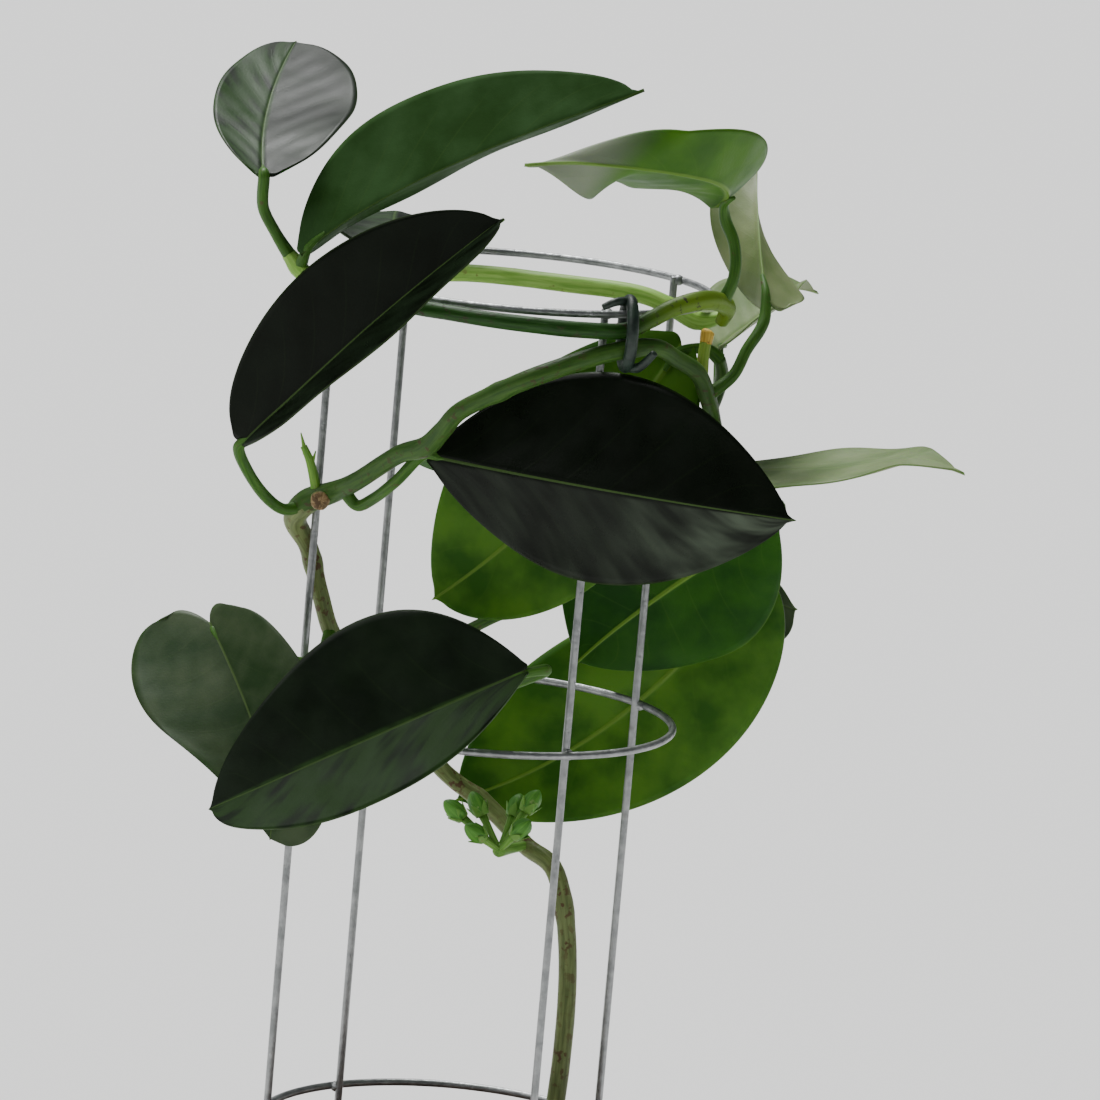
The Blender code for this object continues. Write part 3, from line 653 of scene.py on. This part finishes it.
stub_green = stem_finish("stub_green", (0.18, 0.32, 0.035), (0.28, 0.42, 0.06), (0.28, 0.24, 0.06), 0.62)
dried_cut = stem_finish("dried_cut", (0.50, 0.28, 0.03), (0.72, 0.50, 0.08), (0.25, 0.12, 0.03), 0.58)
stub_shape = bmesh.new()
stem_tube(stub_shape, smooth_route(CUT_STUB, 5), 14, bark_relief(0.12 * MM, 2.2))
stem_tube(stub_shape, smooth_route(CUT_FACE, 5), 14, bark_relief(0.25 * MM, 5.2), material=1)
finished_piece("cut_back_stub", stub_shape, [stub_green, dried_cut], ["cut_stub"])


# The tie is one turn of soft dark coated wire round the top ring and two stems, with two short free ends.
TIE_CENTRE = Vector((28.5, -44, 346)) * MM
TIE_FACING = math.radians(-80)
TIE_HALF_WIDTH = 7.2 * MM
TIE_HALF_HEIGHT = 8.5 * MM
TIE_WIRE_RADIUS = 1.55 * MM
TIE_STEPS = 64
TIE_TAILS = (
    ((28.5, -44, 337.6, 1.2), (32, -48.5, 338.3, 1.2), (35.5, -51, 342.5, 1.0)),
    ((28.5, -44.5, 354.4, 1.2), (25, -47.5, 354.4, 1.1), (22, -48.5, 353, 0.9)),
)

tie_finish, tie_tree, tie_shader = plain_finish("coated_tie", (0.02, 0.05, 0.04), 0.5)
tie_tint = mixed(tie_tree, clouded(tie_tree, 330, 4.0), (0.004, 0.013, 0.008), (0.014, 0.032, 0.020))
tie_tree.links.new(tie_tint, tie_shader.inputs["Base Color"])
roughened(tie_tree, tie_shader, clouded(tie_tree, 1100, 3.0, 0.2, 0.8), 0.1 * MM, 0.35, 0.6)
tie_shape = bmesh.new()
loop_stations = []
for number in range(TIE_STEPS):
    phase = math.tau * number / TIE_STEPS
    out, rise = TIE_HALF_WIDTH * math.cos(phase), TIE_HALF_HEIGHT * math.sin(phase)
    place = TIE_CENTRE + Vector(polar(out, TIE_FACING, rise))
    loop_stations.append((*place, TIE_WIRE_RADIUS))
stem_tube(tie_shape, loop_stations, 14, closed=True)
for tail in TIE_TAILS:
    stem_tube(tie_shape, rounded_ends(smooth_route(tail, 8)), 12, bark_relief(0.08 * MM, 8.1))
finished_piece("twist_tie", tie_shape, [tie_finish], ["tie"])


# The flower buds sit in a small cluster on one stalk: each is a waxy green drop of five folded petals, half
# wrapped in five pointed sepals, on a pedicel of its own.
BUD_STALK = ((13.8, 30.2, 194.8, 1.2), (13.3, 28.2, 194.6, 1.3), (10, 24, 194.5, 1.5), (7.5, 19, 195, 1.9))
BUDS = (
    (-5.5, 17, 205.5), (0.5, 22, 206.5), (0.5, 14.5, 200.5), (15, 22, 208.5), (13, 15, 202.5), (11, 26, 206),
)
BUD_RADIUS = 2.5 * MM
BUD_LENGTH = 7 * MM
PEDICEL_RADIUS = 0.9 * MM
BUD_OUTLINE = (  # how far along the bud from its middle, and how wide there
    (-0.5, 0.45), (-0.42, 0.78), (-0.3, 0.95), (-0.12, 1.0), (0.08, 0.96), (0.24, 0.80), (0.37, 0.56),
    (0.46, 0.30), (0.5, 0.08),
)
PETALS = 5
PETAL_FOLD = 0.07
SEPALS = 5
SEPAL_LENGTH = 3.6 * MM
SEPAL_HALF_WIDTH = 1.25 * MM
SEPAL_THICKNESS = 0.28 * MM

bud_green = stem_finish("bud_green", (0.050, 0.19, 0.022), (0.12, 0.33, 0.045), (0.22, 0.36, 0.10), 0.66)
sepal_green = stem_finish("sepal_green", (0.10, 0.26, 0.035), (0.20, 0.40, 0.07), (0.20, 0.22, 0.06), 0.64)
bud_shape = bmesh.new()
stem_tube(bud_shape, rounded_ends(smooth_route(BUD_STALK, 6)), 16, bark_relief(0.1 * MM, 6.6), material=1)
hub = Vector(BUD_STALK[-1][:3]) * MM
for number, place in enumerate(BUDS):
    centre = Vector(place) * MM
    out = (centre - hub).normalized()
    stalk_end = centre - out * BUD_LENGTH * 0.48
    steps = (0, 0.2, 0.4, 0.6, 0.8, 1)
    pedicel = [(*hub.lerp(stalk_end, t), PEDICEL_RADIUS * (1 + 0.35 * t**3)) for t in steps]
    stem_tube(bud_shape, pedicel, 12, bark_relief(0.06 * MM, number), material=1)
    body = [(*(centre + out * BUD_LENGTH * s), BUD_RADIUS * w * 0.96) for s, w in BUD_OUTLINE]

    def folded(travelled, around, radius, number=number):
        return PETAL_FOLD * radius * math.cos(PETALS * around + 260 * travelled + number)

    stem_tube(bud_shape, body, 25, folded)
    side = out.orthogonal().normalized()
    for sepal in range(SEPALS):
        spin = Matrix.Rotation(math.tau * sepal / SEPALS + number, 3, out)
        radial, tangent = spin @ side, spin @ out.cross(side)
        made = bmesh.ops.create_grid(bud_shape, x_segments=6, y_segments=4, size=1)["verts"]
        for vertex in made:
            t, across = (vertex.co.x + 1) / 2, vertex.co.y
            height = -0.5 * BUD_LENGTH + t * SEPAL_LENGTH
            swell = BUD_RADIUS * (0.45 + 0.62 * math.sin(min(1, t * 0.62 + 0.1) * math.pi / 2)) + 0.12 * MM
            width = SEPAL_HALF_WIDTH * (1 - t**2.2) * across
            lean = width**2 / (2 * swell)
            vertex.co = centre + out * height + radial * (swell - lean + 0.35 * MM * t**3) + tangent * width
        faces = faces_of(made)
        for face in faces:
            face.material_index = 1
        bmesh.ops.recalc_face_normals(bud_shape, faces=faces)
        bmesh.ops.solidify(bud_shape, geom=faces, thickness=SEPAL_THICKNESS)
bmesh.ops.remove_doubles(bud_shape, verts=bud_shape.verts, dist=0.001 * MM)
finished_piece("flower_buds", bud_shape, [bud_green, sepal_green], ["bud_cluster"])


# Each leaf is one thick, waxy blade on a short round stalk. Its midrib is a groove on top and a pale ridge
# below, and faint side veins quilt it. Leaves list the same points as their solids, in millimetres.
LEAVES = {
    "centre": dict(
        midrib=((-18.9, -33, 308.3), (27, -53, 307), (73, -60, 305)),
        edges=((29, -46, 336), (25, -51, 282.7)), outline=(0.73, 0.73, 1.0), stem="main",
        stalk=((-37, -14, 290.5), (-33, -18, 293), (-27, -27, 300)), tone="glossy",
    ),
    "upper_left": dict(
        midrib=((-67, -26, 306), (-35, -56, 345), (-6, -70, 375)), edges=((-52, -52, 358), (-31, -69, 343.4)),
        outline=(0.56, 0.56, 0.9), stem="main", stalk=((-56, -10, 287), (-61, -14, 291), (-65.5, -20, 298)),
        tone="deep",
    ),
    "lower_front": dict(
        midrib=((11.5, -53, 259.5), (-37, -61, 234), (-66, -57, 217)),
        edges=((-31, -75, 222), (-40, -52, 264)), outline=(1.15, 0.62, 0.78), stem="main",
        stalk=((-12, 14, 232), (-4, -14, 241), (4, -36, 250), (12, -46, 256), (15.5, -50, 259)), lobes=1,
        tone="dull",
    ),
    "left": dict(
        midrib=((-73, -13, 257), (-55.5, -39, 229.5), (-51, -45, 208)),
        edges=((-38.5, -50, 239), (-86.5, -30, 234.5)), outline=(0.38, 0.48, 0.86), stem="main",
        stalk=((-44, -6, 247), (-53, -12, 248), (-67, -9, 252)), lobes=4, tone="grey",
    ),
    "inner": dict(
        midrib=((43.5, -18, 341), (16, -25, 301), (-14, -22, 270)), edges=((-4, -22, 321), (33, -31, 286)),
        outline=(0.45, 0.58, 1.06), stem="climber", stalk=((49, -16, 339.5),), tone="backlit",
    ),
    "back_low": dict(
        midrib=((70, 51, 271), (37, 57, 226.5), (-4, 46, 202)), edges=((11, 60, 238), (60, 52, 213)),
        outline=(0.65, 0.65, 0.85), stem="climber", stalk=((53, 21, 297), (64, 36, 294), (71, 46, 284)),
        tone="backlit",
    ),
    "back_high": dict(
        midrib=((72, 19, 289.5), (44, 37, 264), (24, 34, 245)), edges=((24, 35, 291), (69, 42, 253)),
        outline=(0.72, 0.72, 1.1), stem="climber", stalk=((54, 9, 304), (64, 10, 300), (73, 13, 295)),
        tone="shaded",
    ),
    "back_outer": dict(
        midrib=((34, 74, 276), (60, 80, 263), (81, 72, 257)), edges=((56, 76, 279), (60, 82, 245)),
        outline=(0.6, 0.45, 0.95), stem="climber", stalk=((28, 22, 299), (27, 45, 296), (29, 64, 284)),
        lobes=3, tone="grey",
    ),
    "top_left": dict(
        midrib=((-57, -8, 353), (-26, -11, 377), (25, -12, 403)), edges=((-31, 4, 396), (-25, 8, 373)),
        outline=(0.64, 0.64, 0.92), stem="cross", lobes=1, tone="satin",
    ),
    "top_rear": dict(
        midrib=((-68, -10, 374), (-70, 26, 386), (-66, 66, 399)), edges=((-84, 28, 389), (-47, 27, 390)),
        outline=(0.5, 0.5, 0.98), stem="cross", stalk=((-64, -4, 358), (-67.5, -8, 365)), lobes=3,
        tone="dull",
    ),
    "top_right": dict(
        midrib=((49, -22, 378), (42, -48, 388), (-1, -71, 391)), edges=((55, -44.5, 400), (24, -32, 382)),
        outline=(0.7, 1.2, 0.95), stem="ring",
        stalk=((54, -26, 358.5), (54.5, -25, 363.5), (53.5, -24, 369), (51, -23, 374)), lobes=4,
        hook=(2, 0, -1), twist=(300, 0.7), tone="curled",
    ),
    "side_tall": dict(
        midrib=((64, -14, 352.5), (60, 8, 369.5), (58.5, 32, 385.5)),
        edges=((77.5, 12.5, 366), (59, 17.5, 360.5)), outline=(0.35, 0.6, 1.0), stem="main",
        stalk=((56.5, -24, 334.5), (59.5, -21, 341), (62.5, -18, 346), (63.5, -15.5, 349.5)), lobes=3,
        twist=(105, 0), tone="pale",
    ),
    "side_far": dict(
        midrib=((52, 2, 337), (63, 37, 341), (75, 68, 348)), edges=((51, 51, 346), (71, 27, 349)),
        outline=(0.57, 0.75, 0.98), stem="climber", lobes=1, hook=(3, 0, -3), tone="pale",
    ),
    "side_flat": dict(
        midrib=((58, 2, 306), (85, -16, 311.5), (110, -33, 321)), edges=((97, 7, 314), (72, -38, 309)),
        outline=(0.57, 0.8, 0.9), stem="main", stalk=((57, -6, 306.5),), lobes=1, hook=(5, 0, -4),
        tone="pale",
    ),
    "rear_left": dict(
        midrib=((-28, 60, 219), (-44, 78, 216), (-60, 92, 204)), edges=((-60, 62, 219), (-28, 94, 212)),
        outline=(0.6, 0.6, 0.95), stem="main", stalk=((-16, 44, 216), (-22, 54, 219)), tone="dull",
    ),
    "rear_middle": dict(
        midrib=((14, 20, 290), (-2, 52, 292), (-18, 84, 284)), edges=((-24, 44, 296), (15, 60, 289)),
        outline=(0.6, 0.6, 0.95), stem="climber", stalk=((23, 13, 286),), tone="dull",
    ),
    "rear_upper": dict(
        midrib=((-33, 14, 354), (-35, 46, 359), (-32, 78, 352)), edges=((-54, 44, 357), (-15, 48, 356)),
        outline=(0.6, 0.6, 0.95), stem="cross", stalk=((-36, 0, 353),), tone="dull",
    ),
}
BLADE_THICKNESS = 0.8 * MM
MARGIN_THICKNESS = 0.45 * MM
BLADE_ROWS = 84
BLADE_COLUMNS = 40
BLADE_START = 0.012
BLADE_END = 1.02
TIP_HALF_WIDTH = 0.6 * MM
LOBE_END = 0.22
HOOK_START = 0.88
CUPPING = 0.10
GROOVE = 0.30 * MM
RIDGE = 0.60 * MM
MIDRIB_HALF_WIDTH = 0.8 * MM
MIDRIB_CROWDING = 1.6  # how much closer the mesh's columns lie near the midrib
QUILTING = 0.05 * MM
SIDE_VEINS = 8
VEIN_SLANT = 0.30  # how far along the blade a side vein runs from the midrib, less its bend back at the edge
VEIN_BEND = 0.07
RIPPLE = 0.40 * MM
RIPPLES = 2.2
UNEVENNESS = 0.40 * MM
STALK_RADIUS = 1.6 * MM
STALK_SINK = 9 * MM
STALK_DROP = 0.9 * MM  # how far under the blade its end runs, so that only the midrib's groove shows on top


def blade_frame(leaf, u):
    """The midrib's point and direction at this station, and the rotation there from the untwisted middle."""
    base, middle, tip = (Vector(point) * MM for point in leaf["midrib"])
    handle = 2 * middle - (base + tip) / 2
    point = base * (1 - u) ** 2 + handle * 2 * u * (1 - u) + tip * u**2
    direction = ((handle - base) * (1 - u) + (tip - handle) * u).normalized()
    degrees, start = leaf.get("twist", (0, 0))
    twist = Quaternion(direction, math.radians(degrees) * max(0, u - start))
    return point, direction, twist @ (tip - base).normalized().rotation_difference(direction)


def half_width(leaf, half, u):
    """How wide this half of the blade is at this station, as a share of its widest."""
    base_fullness, tip_fullness, widest = leaf["outline"]
    least = TIP_HALF_WIDTH / half.length
    if u > 1:
        return least * math.sqrt(max(0.02, (BLADE_END - u) / (BLADE_END - 1)))
    fullness = base_fullness + (tip_fullness - base_fullness) * u
    return max(math.sin(math.pi * min(u, 0.999) ** widest) ** fullness, least)


def blade_point(leaf, u, v, seed, under):
    """A point of one of the blade's two faces: u runs from base to tip, v from -1 at one edge to 1."""
    point, direction, turn = blade_frame(leaf, u)
    middle = Vector(leaf["midrib"][1])
    halves = [turn @ ((Vector(edge) - middle) * MM) for edge in leaf["edges"]]
    half = halves[0] if v < 0 else halves[1]
    across = abs(v)
    width = half_width(leaf, half, u)
    top = (halves[1] - halves[0]).cross(direction).normalized()
    rise = CUPPING * half.length * width * (across**2 - across)
    reach_back = leaf.get("lobes", 2) * MM * 4 * across * (1 - across) * max(0, 1 - u / LOBE_END) ** 2
    hook = Vector(leaf.get("hook", (0, 0, 0))) * MM * (max(0, u - HOOK_START) / (1 - HOOK_START)) ** 1.5
    place = point + half * (width * across) + top * rise - direction * reach_back + hook
    lean = max(-1, min(1, v * 6))
    first_out = direction.cross(halves[0]).normalized() * (1 - lean)
    face_out = (first_out + halves[1].cross(direction).normalized() * (1 + lean)).normalized()
    distance = across * width * half.length
    taper = 1 - 0.6 * min(u, 1)
    rib = math.exp(-((distance / (MIDRIB_HALF_WIDTH * taper)) ** 2)) * taper
    vein = math.cos(math.tau * SIDE_VEINS * (u - VEIN_SLANT * across + VEIN_BEND * across**2))
    left = max(0, 1 - u)
    quilt = QUILTING * vein * math.sin(math.pi * min(1, across**0.7)) * min(1, 6 * u) * min(1, 6 * left)
    wave = math.sin(math.tau * (RIPPLES * u + seed * 0.37) + 2 * v)
    swell = UNEVENNESS * noise.noise(place * 45 + Vector((seed, 0, 0)))
    swell += RIPPLE * across**3 * wave * min(1, 5 * left)
    half_thick = (MARGIN_THICKNESS + (BLADE_THICKNESS - MARGIN_THICKNESS) * (1 - across**4)) / 2
    if under:
        return place + face_out * (swell - quilt * 0.6 - half_thick - RIDGE * rib)
    return place + face_out * (swell - quilt + half_thick - GROOVE * rib)


def leaf_side(shape, uv, leaf, seed, under):
    """One face of the blade, and the edges of its outline.

    Its UV holds the share of the length and of each half, its second UV the distance from the midrib in cm.
    """
    blade_uv, rib_uv = uv
    made = bmesh.ops.create_grid(shape, x_segments=BLADE_ROWS, y_segments=BLADE_COLUMNS, size=1)["verts"]
    faces = faces_of(made)
    lengths = [(Vector(edge) - Vector(leaf["midrib"][1])).length * MM for edge in leaf["edges"]]
    places = {}
    for vertex in made:
        u = BLADE_START + (BLADE_END - BLADE_START) * (vertex.co.x + 1) / 2
        v = math.copysign(abs(vertex.co.y) ** MIDRIB_CROWDING, vertex.co.y)
        half = Vector((lengths[0] if v < 0 else lengths[1], 0, 0))
        places[vertex] = ((u, (v + 1) / 2), (v * half.length * half_width(leaf, half, u) * 100, u))
        vertex.co = blade_point(leaf, u, v, seed, under)
    for face in faces:
        face.material_index = 1 if under else 0
        for loop in face.loops:
            loop[blade_uv].uv, loop[rib_uv].uv = places[loop.vert]
    if under:
        bmesh.ops.reverse_faces(shape, faces=faces)
    return [edge for edge in {edge for face in faces for edge in face.edges} if edge.is_boundary]


def nearest_on(stem, towards):
    """The centre of the stem where a stalk that leads towards a point leaves it."""
    stations = smooth_route(STEMS[stem], 8)
    return Vector(min(stations, key=lambda station: (Vector(station[:3]) - towards).length)[:3])


def stalk_stations(leaf):
    """The stalk from inside its stem, along its route, into the blade as the start of its midrib."""
    base, direction, turn = blade_frame(leaf, 0)
    span = turn @ (Vector(leaf["edges"][1]) - Vector(leaf["edges"][0]))
    drop = direction.cross(span).normalized() * STALK_DROP
    route = [Vector(point) * MM for point in leaf.get("stalk", ())]
    far = route and (route[-1] - base).length > STALK_SINK
    approach = [base - direction * 2 * MM] if far else []
    inside = [base + direction * 3 * MM + drop, base + direction * STALK_SINK + drop]
    centres = [nearest_on(leaf["stem"], route[0] if route else base), *route, *approach, *inside]
    radii = [1.15 * STALK_RADIUS] + [STALK_RADIUS * 0.95] * (len(centres) - 2) + [0.35 * STALK_RADIUS]
    radii[-2] = STALK_RADIUS * 0.70
    rough = [[value / MM for value in (*centre, radius)] for centre, radius in zip(centres, radii)]
    return smooth_route(rough, 8)


def between(tree, value, low, high):
    """1 where the value is under low and 0 over high, smoothly, or the reverse with low above high."""
    ends = {"From Min": low, "From Max": high, "To Min": 1.0, "To Max": 0.0}
    return ramped(tree, value, ends, interpolation_type="SMOOTHSTEP")


def blade_finish(name, low, high, vein, veining, gloss, glow, shine, rib, painted_sheen=None, pale_tip=None):
    """Waxy leaf skin: mottled green, a thin light midrib, faint side veins and a thin pale margin.

    bloom gives soft lighter streaks of painted sheen, standing for light reflected off one half of the top:
    their colour, the half that they lie on (0 or 1), their strength near the base and the noise level where
    they are full, which parts them as it rises. pale_tip is a curled tip's.
    """
    made, tree, shader = plain_finish(name, low, gloss, specular=shine)
    glowing(shader, glow, (0.5, 1.4, 0.15))
    blade, beside = (
        add_node(tree, "SeparateXYZ", {"Vector": add_node(tree, "UVMap", uv_map=layer).outputs["UV"]}).outputs
        for layer in ("blade", "rib")
    )
    along = blade["X"]
    across = arithmetic(tree, "ABSOLUTE", arithmetic(tree, "MULTIPLY_ADD", blade["Y"], 2.0, -1.0))
    distance = arithmetic(tree, "ABSOLUTE", beside["X"])
    width = arithmetic(tree, "MULTIPLY_ADD", along, -0.6 * rib, rib)
    midrib = between(tree, distance, product(tree, width, 0.5), width)
    slant = arithmetic(tree, "MULTIPLY_ADD", across, VEIN_BEND, -VEIN_SLANT)
    bend = product(tree, across, slant)
    course = product(tree, arithmetic(tree, "ADD", along, bend), float(SIDE_VEINS))
    away = arithmetic(tree, "PINGPONG", course, 0.5)
    fade = between(tree, across, 0.45, 0.95)
    side_veins = product(tree, between(tree, away, 0.0, 0.05), fade)
    mottle = mixed(tree, clouded(tree, 75, 4.0, 0.36, 0.64), low, high)
    # Painted sheen: lighter streaks on one half of the top, standing for light reflected off that half.
    if painted_sheen:
        colour, half, strength, full = painted_sheen
        stretched = [product(tree, value, scale) for value, scale in ((course, 0.8), (across, 0.9))]
        band = add_node(tree, "CombineXYZ", dict(enumerate(stretched))).outputs["Vector"]
        streak = add_node(tree, "TexNoise", {"Vector": band, "Scale": 1.6, "Detail": 2.0})
        share = between(tree, streak.outputs["Fac"], full, 0.30)
        side = between(tree, blade["Y"], *((0.53, 0.51) if half else (0.51, 0.53)))
        tipward = ramped(tree, along, {"From Min": 0.5, "From Max": 0.85, "To Min": strength})
        reach = product(tree, side, tipward)
        mottle = mixed(tree, product(tree, share, reach), mottle, colour)
    if pale_tip:
        mottle = mixed(tree, between(tree, along, 0.86, 0.72), mottle, pale_tip)
    veined = mixed(tree, product(tree, side_veins, veining), mottle, vein)
    inside = between(tree, across, 0.975, 0.999)
    edged = mixed(tree, arithmetic(tree, "MULTIPLY_ADD", inside, -0.30, 0.30), veined, vein)
    tree.links.new(mixed(tree, product(tree, midrib, 0.85), edged, vein), shader.inputs["Base Color"])
    pores = clouded(tree, 1500, 3.0, 0.2, 0.8)
    height = arithmetic(tree, "MULTIPLY_ADD", side_veins, -0.4, pores)
    bump = add_node(tree, "Bump", {"Strength": 0.5, "Distance": 0.05 * MM, "Height": height})
    tree.links.new(bump.outputs["Normal"], shader.inputs["Normal"])
    dull = ramped(tree, clouded(tree, 120, 5.0, 0.3, 0.7), {"To Min": gloss - 0.07, "To Max": gloss + 0.10})
    tree.links.new(dull, shader.inputs["Roughness"])
    return made


# Each tone's top and underside: two greens, the vein's colour, how strong the side veins are, the roughness,
# the glow and the shine. The midrib's half width is in centimetres.
VEIN_DARK = (0.055, 0.105, 0.025)
VEIN_LIGHT = (0.13, 0.25, 0.03)
TOP_RIB = 0.05
UNDER_RIB = 0.12
DEEP_UNDER = ((0.014, 0.055, 0.004), (0.028, 0.085, 0.008), VEIN_LIGHT, 0.06, 0.55, 0.15, 0.15)
DULL_UNDER = ((0.012, 0.060, 0.003), (0.024, 0.095, 0.007), VEIN_LIGHT, 0.06, 0.60, 0.10, 0.03)
TONES = {
    # These two tops are darker than the leaf's own dark green: painted shade for the leaves whose tops face
    # the viewer, away from the light.
    "deep": (
        ((0.003, 0.005, 0.002), (0.005, 0.008, 0.004), VEIN_DARK, 0.03, 0.34, 0.0, 0.06),
        DEEP_UNDER,
    ),
    "glossy": (
        ((0.003, 0.005, 0.002), (0.005, 0.008, 0.004), VEIN_DARK, 0.03, 0.30, 0.0, 0.14),
        DEEP_UNDER,
    ),
    "dull": (
        ((0.004, 0.009, 0.003), (0.009, 0.018, 0.007), VEIN_DARK, 0.04, 0.42, 0.0, 0.16),
        DULL_UNDER,
    ),
    "satin": (
        ((0.020, 0.055, 0.012), (0.036, 0.085, 0.026), VEIN_DARK, 0.16, 0.55, 0.0, 0.02),
        DULL_UNDER,
    ),
    "grey": (
        ((0.014, 0.040, 0.008), (0.052, 0.080, 0.034), (0.07, 0.12, 0.03), 0.05, 0.52, 0.04, 0.16),
        ((0.03, 0.08, 0.014), (0.05, 0.11, 0.022), VEIN_LIGHT, 0.06, 0.50, 0.15, 0.2),
    ),
    # This tone's underside greens are the leaf's own green brightened with painted light: the glow of light
    # shining through the blade from behind.
    "backlit": (
        ((0.010, 0.042, 0.003), (0.024, 0.070, 0.007), VEIN_DARK, 0.08, 0.45, 0.06, 0.2),
        ((0.022, 0.095, 0.004), (0.075, 0.195, 0.014), VEIN_LIGHT, 0.06, 0.52, 0.20, 0.15),
    ),
    "shaded": (
        ((0.008, 0.035, 0.003), (0.018, 0.055, 0.006), VEIN_DARK, 0.08, 0.45, 0.06, 0.2),
        ((0.005, 0.048, 0.001), (0.018, 0.088, 0.003), VEIN_LIGHT, 0.06, 0.55, 0.15, 0.12),
    ),
    "curled": (
        ((0.026, 0.085, 0.004), (0.050, 0.13, 0.007), VEIN_LIGHT, 0.06, 0.45, 0.06, 0.2),
        ((0.026, 0.100, 0.002), (0.052, 0.155, 0.004), VEIN_LIGHT, 0.06, 0.50, 0.20, 0.2),
    ),
    "pale": (
        ((0.12, 0.19, 0.062), (0.185, 0.25, 0.105), (0.18, 0.30, 0.07), 0.05, 0.45, 0.12, 0.3),
        ((0.12, 0.175, 0.055), (0.20, 0.25, 0.105), (0.17, 0.27, 0.08), 0.05, 0.52, 0.15, 0.3),
    ),
}
# Painted sheen for some tops: a lighter colour in streaks on one half of the blade, standing for the light
# that half reflects.
PAINTED_SHEENS = {
    "deep": ((0.014, 0.026, 0.012), 1, 0.8, 0.70),
    "glossy": ((0.085, 0.112, 0.074), 1, 0.22, 0.78),
    "dull": ((0.020, 0.052, 0.011), 0, 1.0, 0.56),
}
PALE_TIPS = {"curled": (0.20, 0.24, 0.16)}
leaf_finishes = {}
for tone, (top, under) in TONES.items():
    tip = PALE_TIPS.get(tone)
    leaf_finishes[tone] = (
        blade_finish(tone + "_top", *top, TOP_RIB, painted_sheen=PAINTED_SHEENS.get(tone), pale_tip=tip),
        blade_finish(tone + "_under", *under, TOP_RIB if tone == "pale" else UNDER_RIB, pale_tip=tip),
    )
stalk_greens = ((0.032, 0.105, 0.01), (0.062, 0.165, 0.016))
stalk_green = stem_finish("stalk_green", *stalk_greens, (0.08, 0.075, 0.022), 0.64)

for seed, (name, leaf) in enumerate(LEAVES.items()):
    leaf_shape = bmesh.new()
    leaf_uvs = [leaf_shape.loops.layers.uv.new(layer) for layer in ("blade", "rib")]
    outline = leaf_side(leaf_shape, leaf_uvs, leaf, seed, under=False)
    outline += leaf_side(leaf_shape, leaf_uvs, leaf, seed, under=True)
    rim = set(bmesh.ops.bridge_loops(leaf_shape, edges=outline)["faces"])
    for face in rim:
        for loop in face.loops:
            side = [other for other in loop.vert.link_loops if other.face not in rim][0]
            for layer in leaf_uvs:
                loop[layer].uv = side[layer].uv
    stem_tube(leaf_shape, stalk_stations(leaf), 16, bark_relief(0.06 * MM, seed * 3.3), material=2)
    skins = [*leaf_finishes[leaf["tone"]], stalk_green]
    finished_piece(f"leaf_{name}_blade", leaf_shape, skins, ["leaf_" + name])
